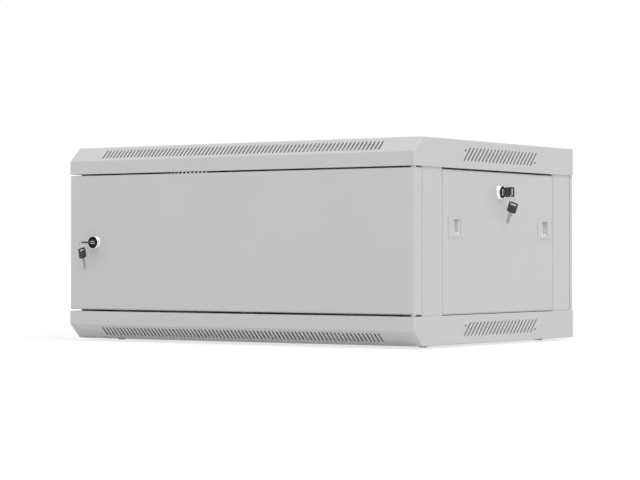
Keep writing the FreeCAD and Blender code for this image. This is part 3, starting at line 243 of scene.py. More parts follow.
def bored(mesh, size, centre):
    """The mesh with a box of the given size in millimetres cut out of it."""
    item = new_object("work", mesh)
    tool = new_object("tool", block("box", size, centre))
    cut = item.modifiers.new("cut", "BOOLEAN")
    cut.object = tool
    cut.operation = "DIFFERENCE"
    cut.solver = "EXACT"
    result = bpy.data.meshes.new_from_object(item.evaluated_get(bpy.context.evaluated_depsgraph_get()))
    bpy.data.objects.remove(item)
    bpy.data.objects.remove(tool)
    return result


def worked_out(name, tree, sizes):
    """The mesh that a geometry tree makes with these inputs."""
    carrier = new_object(name, bpy.data.meshes.new(name))
    work = carrier.modifiers.new("work", "NODES")
    work.node_group = tree
    for socket in tree.interface.items_tree:
        if socket.item_type == "SOCKET" and socket.in_out == "INPUT" and socket.name in sizes:
            work[socket.identifier] = sizes[socket.name]
    carrier.update_tag()
    depsgraph = bpy.context.evaluated_depsgraph_get()
    mesh = bpy.data.meshes.new_from_object(carrier.evaluated_get(depsgraph))
    bpy.data.objects.remove(carrier)
    return mesh


# Angles in degrees above which an edge stays sharp, for flat pieces and for round wire
FLAT_EDGE, ALL_SMOOTH = 30.0, 180.0


def gathered(name, placed, sharp=35.0):
    """One object from (mesh, place) pairs, smooth but for edges that are sharper than this, in degrees."""
    shape = bmesh.new()
    materials = []
    for mesh, place in placed:
        first = len(shape.faces)
        copy = mesh.copy()
        copy.transform(place)
        shape.from_mesh(copy)
        shape.faces.ensure_lookup_table()
        for material in mesh.materials:
            if material not in materials:
                materials.append(material)
        for face in shape.faces[first:]:
            if mesh.materials:
                face.material_index = materials.index(mesh.materials[face.material_index])
        bpy.data.meshes.remove(copy)
    for face in shape.faces:
        face.smooth = True
    mesh = new_mesh(name, shape)
    for material in materials:
        mesh.materials.append(material)
    mesh.set_sharp_from_angle(angle=math.radians(sharp))
    return new_object(name, mesh)


def finished(item, body, slot, *nodes):
    """The piece moves with its body and stands for its CAD nodes, which it hides; slot is not used."""
    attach(item, body)
    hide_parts(*nodes)


def new_tree(name, inputs):
    """A geometry tree with named inputs: (name, kind, value)."""
    tree = bpy.data.node_groups.new(name, "GeometryNodeTree")
    for label, kind, value in inputs:
        socket = tree.interface.new_socket(label, in_out="INPUT", socket_type=kind)
        if value is not None:
            socket.default_value = value
    tree.interface.new_socket("Geometry", in_out="OUTPUT", socket_type="NodeSocketGeometry")
    return tree, add(tree, "NodeGroupInput").outputs


def end_tree(tree, geometry, finish):
    """Ends a geometry tree in real faces of one material."""
    real = add(tree, "GeometryNodeRealizeInstances", {"Geometry": geometry})
    coated = add(tree, "GeometryNodeSetMaterial", {"Geometry": real.outputs["Geometry"], "Material": finish})
    add(tree, "NodeGroupOutput", {"Geometry": coated.outputs["Geometry"]})


# A set of fasteners: the blank gets its drive or its bore cut, and is copied to the points of a grid.
BORE_FACETS, BORE_DEPTH = 32, 0.1
fastener_tree, given = new_tree("fastener_set", [
    ("Blank", "NodeSocketObject", None),
    ("Drive width", "NodeSocketFloat", 0.001),
    ("Drive length", "NodeSocketFloat", 0.004),
    ("Drive depth", "NodeSocketFloat", 0.001),
    ("Bore radius", "NodeSocketFloat", 0.003),
    ("Bored", "NodeSocketBool", False),
    ("Grid width", "NodeSocketFloat", 0.1),
    ("Grid length", "NodeSocketFloat", 0.1),
    ("Across", "NodeSocketInt", 2),
    ("Along", "NodeSocketInt", 2),
    ("Finish", "NodeSocketMaterial", None)])
tree = fastener_tree
blank = add(tree, "GeometryNodeObjectInfo", {"Object": given["Blank"]})
depth = add(tree, "ShaderNodeMath", {0: given["Drive depth"], 1: 2.0}, operation="MULTIPLY").outputs[0]
crossed = add(tree, "GeometryNodeMeshBoolean", {"Mesh 1": blank.outputs["Geometry"]}, operation="DIFFERENCE")
for x, y in (("Drive length", "Drive width"), ("Drive width", "Drive length")):
    size = add(tree, "ShaderNodeCombineXYZ", {"X": given[x], "Y": given[y], "Z": depth})
    bar = add(tree, "GeometryNodeMeshCube", {"Size": size.outputs[0]})
    tree.links.new(bar.outputs["Mesh"], crossed.inputs["Mesh 2"])
bore = add(tree, "GeometryNodeMeshCylinder",
           {"Vertices": BORE_FACETS, "Radius": given["Bore radius"], "Depth": BORE_DEPTH})
hexagon = add(tree, "GeometryNodeMeshBoolean", {"Mesh 1": blank.outputs["Geometry"]}, operation="DIFFERENCE")
tree.links.new(bore.outputs["Mesh"], hexagon.inputs["Mesh 2"])
chosen = add(tree, "GeometryNodeSwitch", {"Switch": given["Bored"], "False": crossed.outputs["Mesh"],
                                          "True": hexagon.outputs["Mesh"]}, input_type="GEOMETRY")
grid = add(tree, "GeometryNodeMeshGrid", {"Size X": given["Grid width"], "Size Y": given["Grid length"],
                                          "Vertices X": given["Across"], "Vertices Y": given["Along"]})
points = add(tree, "GeometryNodeMeshToPoints", {"Mesh": grid.outputs["Mesh"]})
copied = add(tree, "GeometryNodeInstanceOnPoints",
             {"Points": points.outputs["Points"], "Instance": chosen.outputs["Output"]})
end_tree(tree, copied.outputs["Instances"], given["Finish"])

# A drive's width, length and depth as shares of the head's radius, radius and height,
# and a nut's face and chamfer as shares of its corner radius and height
DRIVE_WIDTH, DRIVE_LENGTH, DRIVE_DEPTH = 0.24, 1.15, 0.62
NUT_FACE, NUT_CHAMFER, NUT_SIDES = 0.93, 0.12, 6


def fastener_set(name, mesh, sizes, width, depth, across, along):
    """Copies of a blank on a grid, zinc plated."""
    blank = new_object(f"{name}_blank", mesh)
    mesh = worked_out(name, fastener_tree, {
        "Blank": blank, **sizes, "Grid width": width * MM, "Grid length": depth * MM,
        "Across": across, "Along": along, "Finish": zinc_plate})
    bpy.data.objects.remove(blank)
    return mesh


def screw_set(name, head_radius, head_height, radius, length, width=0.0, depth=0.0, across=1, along=1):
    """Pan-head screws with a cross drive, in millimetres: the head's top on z = 0, the shank towards +Z."""
    seat = head_height
    outline = [(0, 0), (0.55 * head_radius, 0.02), (0.80 * head_radius, 0.14 * seat),
               (0.95 * head_radius, 0.42 * seat), (head_radius, 0.75 * seat), (head_radius, seat)]
    outline += threaded(radius, seat, seat + length - 0.4, pitch=0.8, depth=0.25)
    outline += [(0.6 * radius, seat + length), (0, seat + length)]
    sizes = {"Drive width": DRIVE_WIDTH * head_radius * MM, "Drive length": DRIVE_LENGTH * head_radius * MM,
             "Drive depth": DRIVE_DEPTH * head_height * MM}
    return fastener_set(name, turned(f"{name}_blank", outline, facets=24), sizes, width, depth, across, along)


def nut_set(name, flats, height, bore, width=0.0, depth=0.0, across=1, along=1):
    """Hexagon nuts with chamfered corners, in millimetres, from z = 0 up."""
    corner = flats / math.sqrt(3)
    chamfer = NUT_CHAMFER * height
    shape = bmesh.new()
    rings = [ring_of_points(shape, radius, level, NUT_SIDES)
             for radius, level in ((NUT_FACE * corner, 0), (corner, chamfer), (corner, height - chamfer),
                                   (NUT_FACE * corner, height))]
    for low, high in zip(rings, rings[1:]):
        for step in range(NUT_SIDES):
            after = (step + 1) % NUT_SIDES
            shape.faces.new((low[step], low[after], high[after], high[step]))
    shape.faces.new(rings[0][::-1])
    shape.faces.new(rings[-1])
    bmesh.ops.recalc_face_normals(shape, faces=shape.faces)
    sizes = {"Bore radius": bore * MM, "Bored": True}
    return fastener_set(name, new_mesh(f"{name}_blank", shape), sizes, width, depth, across, along)


def middle(node):
    """The middle of a CAD node's box."""
    low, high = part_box(node)
    return (low + high) / 2


# Screws and nuts: cold-headed steel with bright zinc plate.
# Each kind is made once and set out on a grid, then turned to where it grips.
UPSIDE_DOWN = Matrix.Rotation(math.pi, 4, "X")
SHEET = 1.5

# Bolts and nuts that hold the rack rails in their carriers, through the rails' tabs, top and bottom.
BOLT_HEAD, BOLT_RADIUS, BOLT_GRIP = 5.2, 3.0, 3.0
NUT_HEIGHT = 1.6 * BOLT_RADIUS
low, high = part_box("rail_bolts")
rail_low, rail_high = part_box("rack_rail_front_left")
nut_corner = 2 * BOLT_HEAD / math.sqrt(3)
bolt_x = high.x / MM - nut_corner
bolt_ys = ((low.y + high.y) / 2) / MM
bolt_run = (high.y - low.y) / MM - 2 * BOLT_HEAD
shank = 2 * BOLT_RADIUS + BOLT_GRIP
bolt_grid = {"width": 2 * bolt_x, "depth": bolt_run, "across": 2, "along": 2}
bolts = screw_set("rail_bolt", BOLT_HEAD, BOLT_RADIUS, BOLT_RADIUS, shank, **bolt_grid)
nuts = nut_set("rail_nut", 2 * BOLT_HEAD, NUT_HEIGHT, BOLT_RADIUS, **bolt_grid)
placed = []
for face, turn, way in ((rail_high.z / MM, Matrix(), 1), (rail_low.z / MM, UPSIDE_DOWN, -1)):
    head_at = Vector((0, bolt_ys, face - way * (SHEET + BOLT_RADIUS)))
    nut_at = Vector((0, bolt_ys, face + way * SHEET))
    for mesh, spot in ((bolts, head_at), (nuts, nut_at)):
        placed.append((mesh, Matrix.Translation(spot * MM) @ turn))
finished(gathered("rail_bolts_and_nuts", placed), "root", "zinc_steel", "rail_bolts")

# Screws of the two cable entry plates: the head is inside the cabinet and the plate lies on the sheet.
SCREW_HEAD, SCREW_RADIUS, SCREW_GRIP = 3.6, 2.0, 3.0
low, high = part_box("plate_screws")
spread = (high - low) / MM - Vector((2 * SCREW_HEAD, 2 * SCREW_HEAD, 0))
screws = screw_set("plate_screw", SCREW_HEAD, SCREW_RADIUS, SCREW_RADIUS, SCREW_GRIP,
                   spread.x, spread.y, across=2, along=2)
centre = middle("plate_screws")
reach = (SCREW_GRIP + SCREW_RADIUS) * MM
finished(gathered("entry_plate_screws", [
    (screws, Matrix.Translation((centre.x, centre.y, high.z - reach))),
    (screws, Matrix.Translation((centre.x, centre.y, low.z + reach)) @ UPSIDE_DOWN)]),
    "root", "zinc_steel", "plate_screws")

# Screws in the dimples of the rear panel: three on each side, driven from behind into the posts.
REAR_HEAD, REAR_RADIUS = 4.6, 2.5
low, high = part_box("rear_panel_screws")
spread = (high - low) / MM - Vector((2 * REAR_HEAD, 0, 2 * REAR_HEAD))
length = (high.y - low.y) / MM - REAR_RADIUS
screws = screw_set("rear_screw", REAR_HEAD, REAR_RADIUS, REAR_RADIUS, length,
                   spread.x, spread.z, across=2, along=3)
centre = middle("rear_panel_screws")
inward = Matrix.Translation((centre.x, high.y, centre.z)) @ Matrix.Rotation(math.radians(90), 4, "X")
finished(gathered("rear_screws", [(screws, inward)]), "root", "zinc_steel", "rear_panel_screws")

# Earth stud: an M6 stud pressed into the floor, with a hexagon nut, for the green and yellow lead.
STUD_LENGTH, STUD_POINT = 16.0, 2.2
floor_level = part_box("earth_stud")[0].z
centre = middle("earth_stud")
stud = turned("earth_stud_rod", [
    (0, 0), (BOLT_RADIUS, 0), (BOLT_RADIUS, SHEET),
    *threaded(BOLT_RADIUS, SHEET, STUD_LENGTH - 0.6, pitch=1.0, depth=0.4),
    (STUD_POINT, STUD_LENGTH), (0, STUD_LENGTH)], facets=24)
stud.materials.append(zinc_plate)
nut = nut_set("earth_nut", 2 * BOLT_HEAD, NUT_HEIGHT, BOLT_RADIUS - 0.4)
finished(gathered("earth_stud_and_nut", [
    (stud, Matrix.Translation((centre.x, centre.y, floor_level))),
    (nut, Matrix.Translation((centre.x, centre.y, floor_level + SHEET * MM)))]),
    "root", "zinc_steel", "earth_stud")

dress(["hinge_washers"], zinc_plate)


# Feet: four low grey rubber pads with a plug that is pressed into the floor of the cabinet.
# Moulded rubber is dull, with a faint bloom.
FOOT_RADIUS, FOOT_HEIGHT, FOOT_TREAD = 6.35, 3.5, 5.6
FOOT_PLUG, FOOT_PLUG_TOP = 3.0, 5.0
foot_rubber = moulded("moulded_grey_rubber", "#969696", "#A4A4A4", pitch=2.5, detail=3.0,
                      roughness=0.75, ior=1.52, strength=0.3, depth=0.05)
foot = turned("foot", [
    (0, 0), (FOOT_TREAD - 0.6, 0), (FOOT_TREAD - 0.15, 0.12), (FOOT_TREAD + 0.05, 0.6),
    (FOOT_RADIUS - 0.08, FOOT_HEIGHT - 0.3), (FOOT_RADIUS - 0.3, FOOT_HEIGHT), (FOOT_PLUG, FOOT_HEIGHT),
    (FOOT_PLUG, FOOT_PLUG_TOP - 0.2), (FOOT_PLUG - 0.3, FOOT_PLUG_TOP), (0, FOOT_PLUG_TOP)], facets=32)
foot.materials.append(foot_rubber)
low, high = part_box("feet")
places = [(x, y) for x in (low.x + FOOT_RADIUS * MM, high.x - FOOT_RADIUS * MM)
          for y in (low.y + FOOT_RADIUS * MM, high.y - FOOT_RADIUS * MM)]
finished(gathered("rubber_feet", [(foot, Matrix.Translation((x, y, 0))) for x, y in places]),
         "root", "foot_rubber", "feet")


# Door: a shallow pan of 1.2 mm steel with a stiffener channel welded inside it, coated as the covers.
# It turns on two pins; the upper one is sprung, and its cross handle is pulled down to lift the door out.
dress(["door_panel", "door_stiffener"], powder_coat)
dress(["door_hinge_bracket", "door_hinge_pin_lower", "door_hinge_pin_upper"], zinc_plate)

# Spring steel wire, drawn and oiled: darker than the zinc.
spring_wire = plated("drawn_spring_steel", "#9B9DA1", pitch=0.6, detail=2.0, smooth=0.22, rough=0.38)

# A coil of round wire: a spring, or the two turns of a key ring.
COIL_STEPS, WIRE_FACETS = 28, 10
coil_tree, given = new_tree("coil_of_wire", [
    ("Turns", "NodeSocketFloat", 5.0),
    ("Coil radius", "NodeSocketFloat", 0.003),
    ("Wire radius", "NodeSocketFloat", 0.0004),
    ("Height", "NodeSocketFloat", 0.01),
    ("Finish", "NodeSocketMaterial", None)])
tree = coil_tree
line = add(tree, "GeometryNodeCurveSpiral", {
    "Resolution": COIL_STEPS, "Rotations": given["Turns"], "Height": given["Height"],
    "Start Radius": given["Coil radius"], "End Radius": given["Coil radius"]})
wire = add(tree, "GeometryNodeCurvePrimitiveCircle", {
    "Resolution": WIRE_FACETS, "Radius": given["Wire radius"]})
tube = add(tree, "GeometryNodeCurveToMesh", {
    "Curve": line.outputs["Curve"], "Profile Curve": wire.outputs["Curve"], "Fill Caps": True})
end_tree(tree, tube.outputs["Mesh"], given["Finish"])


def coil_of(name, turns, coil, wire, height, finish):
    """A coil along Z, its sizes in millimetres."""
    return worked_out(name, coil_tree, {"Turns": turns, "Coil radius": coil * MM, "Wire radius": wire * MM,
                                        "Height": height * MM, "Finish": finish})


def spring(name, node, body, way, turns, coil, wire):
    """A coil on the axis of its CAD node; way points to its fixed end."""
    low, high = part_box(node)
    axis = max(range(3), key=lambda number: abs(way[number]))
    length = (high[axis] - low[axis]) / MM
    mesh = coil_of(name, turns, coil, wire, length - 2 * wire, spring_wire)
    turn = Matrix() if axis == 2 else Matrix.Rotation(math.radians(-90), 4, "X")
    start = middle(node)
    start[axis] = low[axis] + wire * MM
    item = gathered(name, [(mesh, Matrix.Translation(start) @ turn)], sharp=ALL_SMOOTH)
    anchor = middle(node)
    anchor[axis] = high[axis] if way[axis] > 0 else low[axis]
    finished(item, body, "spring_wire", node)
    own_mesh(item)


spring("upper_hinge_spring", "door_hinge_spring", "door", (0, 0, -1),
       turns=5.0, coil=3.35, wire=0.35)


# Side panels: pans of 1.2 mm steel that fill the space between the posts, coated as the covers.
dress(["side_panel_left", "side_panel_right"], powder_coat)

# Slide latches: moulded ABS, through-coloured, with a fine spark-eroded grain.
# The housings match the coat. The sliders in them are the same plastic but are painted a little paler, as
# painted light that lightens the shade in their recesses.
ABS_GRAIN = {"pitch": 0.5, "detail": 2.0, "roughness": 0.5, "ior": 1.54, "strength": 0.2, "depth": 0.02}
housing_plastic = moulded("moulded_abs_light_grey", "#C5C5C5", "#C9C9C9", **ABS_GRAIN)
# Painted light: the sliders' paler tone stands in for light on the shaded floor of the finger recess.
slider_plastic_painted_light = moulded("moulded_abs_grey_painted_light", "#D8D8D8", "#DCDCDC", **ABS_GRAIN)
for side in ("left", "right"):
    dress([f"latch_housings_{side}"], housing_plastic)
    dress([f"latch_slider_front_{side}", f"latch_slider_rear_{side}"], slider_plastic_painted_light)
    for end, way in (("front", 1), ("rear", -1)):
        spring(f"latch_coil_{end}_{side}", f"latch_spring_{end}_{side}", f"side_{side}",
               (0, way, 0), turns=3.0, coil=2.6, wire=0.4)


# Cam locks: a chrome-plated zinc casting, held by a nut behind the sheet, with a black plug.
# The plug turns the zinc-plated cam bar behind the frame.
# The head stands out of the sheet by HEAD, and the barrel reaches behind it by its grip. The rest are radii.
HEAD, GRIPS = 4.6, {"door": 25.0, "side_left": 14.3, "side_right": 14.3}
RIM, FLANGE, BARREL, FACE, PLUG = 9.6, 11.25, 9.0, 8.7, 6.0
PLUG_PLAY, PLUG_DEPTH = 0.05, 1.8
KEYWAY_WIDTH, KEYWAY_LENGTH, KEYWAY_DEPTH, KEYWAY_CENTRE = 2.4, 6.4, 40.0, (0, 0, -4.4)
SHUTTER_BORDER, SHUTTER_THICKNESS = 0.7, 0.5
TAIL_WIDTH, TAIL_LENGTH, RIVET_RADIUS = 7.0, 2.5, 4.6
LOCK_NUT_FLATS, LOCK_NUT_HEIGHT, LOCK_NUT_LEVEL = 24.0, 4.0, 1.2
chrome = plated("polished_chrome_plate", "#F1F1F2", pitch=3.0, detail=1.0, smooth=0.04, rough=0.10)
black_coat, tree = blank_material("black_lacquered_zinc")
haze = noise(tree, pitch=0.8, detail=2.0)
surfaced(tree, {"Base Color": colour("#060606"), "Roughness": gloss(tree, haze, smooth=0.38, rough=0.55),
                "IOR": 1.5, "Specular IOR Level": 0.25})

# Turned pieces lie along Z; this turns them so that +Z points into the cabinet, along the lock's own +Y.
ALONG_LOCK = Matrix.Rotation(math.radians(-90), 4, "X")
door_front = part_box("door_panel")[0].y
side_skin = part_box("side_panel_right")[1].x
side_middle = middle("side_panel_left").y
side_lock_z = middle("side_right_lock_plug").z
LOCK_PLACES = {
    "door": Matrix.Translation((middle("door_lock_nut").x, door_front, middle("door_lock_nut").z)),
    "side_right": Matrix.Translation((side_skin, side_middle, side_lock_z))
    @ Matrix.Rotation(math.radians(90), 4, "Z"),
    "side_left": Matrix.Translation((-side_skin, side_middle, side_lock_z))
    @ Matrix.Rotation(math.radians(-90), 4, "Z"),
}

for word, place in LOCK_PLACES.items():
    grip = GRIPS[word]
    # Casting: flange, sloped chrome bezel with a rolled rim, threaded barrel with a chamfered end
    casting = turned(f"{word}_casting", [
        (PLUG + PLUG_PLAY, grip), (BARREL - 0.9, grip),
        *threaded(BARREL, grip - 0.5, 1.5, pitch=1.0, depth=0.5), (BARREL, 1.2), (BARREL, 0.0),
        (FLANGE - 0.1, 0.0), (FLANGE, -0.15), (FLANGE - 0.04, -0.7), (FLANGE - 0.35, -1.1),
        (RIM + 0.32, 0.75 - HEAD), (RIM + 0.1, 0.3 - HEAD), (RIM - 0.2, 0.06 - HEAD),
        (RIM - 0.45, -HEAD), (FACE + 0.2, 0.08 - HEAD), (FACE + PLUG_PLAY, 0.3 - HEAD),
        (FACE + PLUG_PLAY, PLUG_DEPTH - HEAD), (PLUG + PLUG_PLAY, PLUG_DEPTH - HEAD)], facets=64, closed=True)
    casting.materials.append(chrome)
    finished(gathered(f"{word}_lock_casting", [(casting, place @ ALONG_LOCK)], sharp=40.0),
             word, "lock_chrome", f"{word}_lock_body")
    # Plug: a dished face with a fine ring round the cylinder, and the keyway through it
    seat = PLUG_DEPTH - PLUG_PLAY - HEAD
    plug = turned(f"{word}_plug", [
        (0, 0.35 - HEAD), (PLUG - 0.5, 0.35 - HEAD), (PLUG - 0.25, 0.6 - HEAD), (PLUG, 0.6 - HEAD),
        (PLUG + 0.25, 0.3 - HEAD), (FACE - 0.9, 0.12 - HEAD), (FACE - 0.35, 0.03 - HEAD),
        (FACE - 0.05, 0.3 - HEAD), (FACE, 0.6 - HEAD), (FACE, seat), (PLUG, seat), (PLUG, grip - 0.2),
        (PLUG - 0.3, grip + 0.05), (0, grip + 0.05)], facets=64)
    across, up = (KEYWAY_LENGTH, KEYWAY_WIDTH) if word == "door" else (KEYWAY_WIDTH, KEYWAY_LENGTH)
    keyway = (across, up, KEYWAY_DEPTH)
    plug = bored(plug, keyway, KEYWAY_CENTRE)
    plug.materials.append(black_coat)
    # Bright frame of the key's shutter, set in the face about the keyway
    frame_size = (across + 2 * SHUTTER_BORDER, up + 2 * SHUTTER_BORDER, SHUTTER_THICKNESS)
    shutter = block(f"{word}_shutter", frame_size, (0, 0, SHUTTER_THICKNESS / 2 - HEAD))
    shutter = bored(shutter, keyway, KEYWAY_CENTRE)
    shutter.materials.append(chrome)
    # Square tail that carries the cam, and the rivet on its end
    tail = block(f"{word}_tail", (TAIL_WIDTH, TAIL_WIDTH, TAIL_LENGTH), (0, 0, grip + 1.3))
    tail.materials.append(zinc_plate)
    rivet = turned(f"{word}_rivet", [
        (0, grip + 2.4), (RIVET_RADIUS, grip + 2.55), (RIVET_RADIUS - 0.1, grip + 3.0),
        (RIVET_RADIUS - 1, grip + 3.5), (0, grip + 3.75)], facets=32)
    rivet.materials.append(zinc_plate)
    cylinder = [(mesh, place @ ALONG_LOCK) for mesh in (plug, shutter, tail, rivet)]
    finished(gathered(f"{word}_lock_cylinder", cylinder),
             f"{word}_lock", "lock_face", f"{word}_lock_plug")
    # Nut behind the sheet
    nut = nut_set(f"{word}_nut", LOCK_NUT_FLATS, LOCK_NUT_HEIGHT, BARREL - 0.4)
    behind = place @ Matrix.Translation((0, LOCK_NUT_LEVEL * MM, 0)) @ ALONG_LOCK
    finished(gathered(f"{word}_back_nut", [(nut, behind)], sharp=FLAT_EDGE),
             word, "zinc_steel", f"{word}_lock_nut")
    dress([f"{word}_lock_cam"], zinc_plate)


# Keys: a nickel-plated brass blade with milled grooves, moulded into a dark plastic bow.
# The bow has a raised border and a slot for the ring. One key stays in each lock, and its spare hangs
# on the ring.
BOW_LENGTH, BOW_WIDTH, BOW_THICKNESS, BOW_DOME, NECK = 15.4, 14.0, 2.5, 0.7, 2.8
BORDER_WIDTH, BORDER_RISE = 1.1, 0.3
SLOT_LENGTH, SLOT_WIDTH, SLOT_INSET = 10.4, 2.4, 3.2
BLADE_LENGTH, BLADE_WIDTH, BLADE_THICKNESS, GROOVE_DEPTH, BLADE_OVERLAP = 13.0, 6.0, 2.0, 0.35, 0.8
# Cuts of the blade: their start after the shoulder, and their depth
CUTS = [(1.6, 1.1), (3.6, 1.8), (5.6, 0.8), (7.6, 1.5)]
RING_RADIUS, RING_WIRE, RING_CLEARANCE, RING_TURNS = 6.5, 0.6, 0.3, 2.0
SPARE_OFFSET, SPARE_TILTS = 2.1, {"door": 12.0, "side_left": 19.0, "side_right": 19.0}
nickel = plated("milled_nickel_plated_brass", "#C6C6C4", pitch=0.4, detail=2.0, smooth=0.34, rough=0.46)
bow_plastic = moulded("moulded_dark_grey_nylon", "#303032", "#3E3E40", pitch=0.35, detail=2.0, roughness=0.42,
                      ior=1.53, strength=0.35, depth=0.03)


def rounded(corners, radius, steps=5):
    """The outline through these corners with each one rounded."""
    points = []
    count = len(corners)
    for number, corner in enumerate(corners):
        here = Vector(corner)
        before = (Vector(corners[number - 1]) - here).normalized()
        after = (Vector(corners[(number + 1) % count]) - here).normalized()
        for step in range(steps + 1):
            part = step / steps
            weights = ((1 - part) ** 2, part ** 2)
            points.append(here + radius * (weights[0] * before + weights[1] * after))
    return points


def plate(name, outlines, material, thickness, edge):
    """A flat piece on z = 0 with softened edges, from an outline and its holes in millimetres."""
    flat = bpy.data.curves.new(name, "CURVE")
    flat.dimensions = "2D"
    flat.fill_mode = "BOTH"
    flat.extrude = (thickness / 2 - edge) * MM
    flat.bevel_depth = edge * MM
    flat.bevel_resolution = 2
    flat.offset = -edge * MM
    for outline in outlines:
        line = flat.splines.new("POLY")
        line.points.add(len(outline) - 1)
        for point, corner in zip(line.points, outline):
            point.co = (corner[0] * MM, corner[1] * MM, 0, 1)
        line.use_cyclic_u = True
    item = new_object(name, flat)
    mesh = bpy.data.meshes.new_from_object(item.evaluated_get(bpy.context.evaluated_depsgraph_get()))
    bpy.data.objects.remove(item)
    mesh.materials.clear()
    mesh.materials.append(material)
    shape = bmesh.new()
    shape.from_mesh(mesh)
    bmesh.ops.remove_doubles(shape, verts=shape.verts, dist=0.01 * MM)
    shape.to_mesh(mesh)
    shape.free()
    return mesh


def key_pieces():
    """Meshes of one key along +Y, its shoulder where the lock's face is."""
    shoulder = -HEAD
    bow_end = shoulder - NECK
    bow_start = bow_end - BOW_LENGTH
    half = BOW_WIDTH / 2

    def outline(inset, radius):
        """The bow's outline, whose end at the blade is slightly domed."""
        wide, near, far = half - inset, bow_start + inset, bow_end - inset
        ends = far - BOW_DOME
        return rounded([(-wide, near), (wide, near), (wide, ends), (0, far), (-wide, ends)], radius)

    level = bow_start + SLOT_INSET
    reach, deep = SLOT_LENGTH / 2, SLOT_WIDTH / 2
    slot = rounded([(-reach, level - deep), (reach, level - deep),
                    (reach, level + deep), (-reach, level + deep)], radius=0.98 * deep, steps=6)
    border = [outline(0, radius=2.0), outline(BORDER_WIDTH, radius=1.3)[::-1]]
    field = [outline(BORDER_WIDTH / 2, radius=1.6), slot[::-1]]
    bow = [plate("bow_border", border, bow_plastic, BOW_THICKNESS, edge=0.3),
           plate("bow_middle", field, bow_plastic, BOW_THICKNESS - 2 * BORDER_RISE, edge=0.1)]
    edge = BLADE_WIDTH / 2
    tip = shoulder + BLADE_LENGTH
    root = bow_end - BLADE_OVERLAP
    bitting = [(edge, shoulder + 1.4)]
    for start, depth in CUTS:
        bitting += [(edge - depth, shoulder + start + 0.5), (edge - depth, shoulder + start + 1.2),
                    (edge - 0.3, shoulder + start + 1.9)]
    blade = [(-edge, bow_end - 2.0), (edge, bow_end - 2.0), *bitting, (edge - 0.6, tip - 1.6), (0.6, tip),
             (-0.6, tip), (-edge, tip - 1.8)]
    back = [(-edge, root), (-0.9, root), (-0.9, tip - 0.3), (-edge, tip - 1.9)]
    front = [(0.3, root), (edge, root), (edge, shoulder + 1.2), (1.0, shoulder + 1.8), (0.95, tip - 1.4),
             (0.3, tip - 0.3)]
    metal = [plate("blade_web", [blade], nickel, BLADE_THICKNESS - 2 * GROOVE_DEPTH, edge=0.1),
             plate("blade_back", [back], nickel, BLADE_THICKNESS, edge=0.12),
             plate("blade_front", [front], nickel, BLADE_THICKNESS, edge=0.12)]
    return bow + metal


# The ring goes through the slot of the bow, and the spare key hangs from it a little to one side, at a tilt.
# Along the key, slot_y is the middle of its slot and held is where the ring holds it; the ring of the key
# in the lock hangs on the web of the bow beside the slot, and drop is from there to the ring's middle.
key = key_pieces()
slot_y = SLOT_INSET - (HEAD + NECK + BOW_LENGTH)
held = slot_y - SLOT_WIDTH / 2 + RING_WIRE + RING_CLEARANCE
web = (BOW_WIDTH - SLOT_LENGTH) / 2
web_middle = (BOW_WIDTH + SLOT_LENGTH) / 4
inner_radius = RING_RADIUS - RING_WIRE - RING_CLEARANCE
drop = inner_radius - math.hypot(web, BOW_THICKNESS) / 2
ring = coil_of("split_ring", RING_TURNS, RING_RADIUS, RING_WIRE / 2, RING_WIRE, nickel)
for word, place in LOCK_PLACES.items():
    flat = word == "door"
    turn = Matrix() if flat else Matrix.Rotation(math.radians(90), 4, "Y")
    finished(gathered(f"{word}_lock_key", [(mesh, place @ turn) for mesh in key], sharp=FLAT_EDGE),
             f"{word}_lock", "key", f"{word}_key")
    ring_at = Vector((-web_middle, slot_y, -drop) if flat else (0, slot_y, -web_middle - drop))
    lie = Matrix.Translation(ring_at * MM) @ ALONG_LOCK @ Matrix.Translation((0, 0, -RING_WIRE / 2 * MM))
    finished(gathered(f"{word}_split_ring", [(ring, place @ lie)], sharp=ALL_SMOOTH),
             f"{word}_ring", "ring_wire", f"{word}_key_ring")
    tilt = math.radians(SPARE_TILTS[word])
    hung = Vector((ring_at.x, ring_at.y - held * math.sin(tilt) - SPARE_OFFSET * math.cos(tilt),
                   ring_at.z - RING_RADIUS + held * math.cos(tilt) - SPARE_OFFSET * math.sin(tilt)))
    hang = (Matrix.Translation(hung * MM) @ Matrix.Rotation(tilt - math.pi / 2, 4, "X")
            @ Matrix.Rotation(math.pi / 2, 4, "Y"))
    finished(gathered(f"{word}_hanging_key", [(mesh, place @ hang) for mesh in key], sharp=FLAT_EDGE),
             f"{word}_spare", "key", f"{word}_spare_key")


# Studio: a seamless white floor and an even white room, with one large soft lamp high at the right.
# Room and floor are pure white to the eye and in mirrors, and light the cabinet a little less than that.
AMBIENT, WHITE, KEY_LIGHT = 0.695, 1.0, 1.385
FLOOR_HALF, FLOOR_SHARE, FLOOR_GLOW = 30.0, 0.7, 1.06
LAMP_SPREAD, LAMP_FROM = 60, (0.444, -0.202, 0.873)


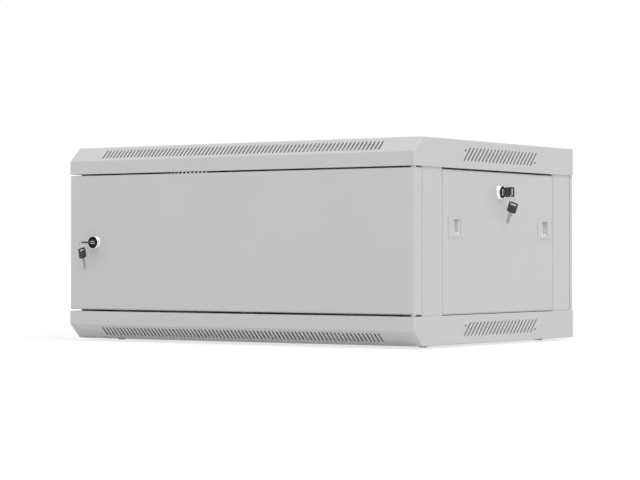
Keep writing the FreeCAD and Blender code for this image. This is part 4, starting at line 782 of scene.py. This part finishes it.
def looked_at(tree):
    """1 for what the camera sees straight, mirrored or through glass, and 0 for what only lights."""
    ray = add(tree, "ShaderNodeLightPath").outputs
    seen = ray["Is Camera Ray"]
    for kind in ("Is Glossy Ray", "Is Transmission Ray"):
        seen = add(tree, "ShaderNodeMath", {0: seen, 1: ray[kind]}, operation="MAXIMUM").outputs[0]
    return seen


world = bpy.data.worlds.new("white_room")
bpy.context.scene.world = world
world.use_nodes = True
tree = world.node_tree
tree.nodes.clear()
dim = add(tree, "ShaderNodeBackground", {"Color": (1, 1, 1, 1), "Strength": AMBIENT})
white = add(tree, "ShaderNodeBackground", {"Color": (1, 1, 1, 1), "Strength": WHITE})
mixed = add(tree, "ShaderNodeMixShader", {0: looked_at(tree), 1: dim.outputs[0], 2: white.outputs[0]})
add(tree, "ShaderNodeOutputWorld", {"Surface": mixed.outputs[0]})

paper, tree = blank_material("white_backdrop_paper")
share = add(tree, "ShaderNodeMath", {0: looked_at(tree), 1: FLOOR_SHARE}, operation="MULTIPLY")
matt = add(tree, "ShaderNodeBsdfDiffuse", {"Color": colour("#F0F0F0")})
glow = add(tree, "ShaderNodeEmission", {"Color": (1, 1, 1, 1), "Strength": FLOOR_GLOW})
mixed = add(tree, "ShaderNodeMixShader", {0: share.outputs[0], 1: matt.outputs[0], 2: glow.outputs[0]})
add(tree, "ShaderNodeOutputMaterial", {"Surface": mixed.outputs[0]})
shape = bmesh.new()
bmesh.ops.create_grid(shape, x_segments=1, y_segments=1, size=FLOOR_HALF)
floor_mesh = new_mesh("floor", shape)
floor_mesh.materials.append(paper)
floor = new_object("floor", floor_mesh)

lamp = bpy.data.lights.new("soft_lamp", "SUN")
lamp.energy = KEY_LIGHT
lamp.angle = math.radians(LAMP_SPREAD)
soft_lamp = bpy.data.objects.new("soft_lamp", lamp)
soft_lamp.rotation_euler = Vector(LAMP_FROM).to_track_quat("Z", "Y").to_euler()
bpy.context.scene.collection.objects.link(soft_lamp)
bpy.context.scene.view_settings.view_transform = "Standard"
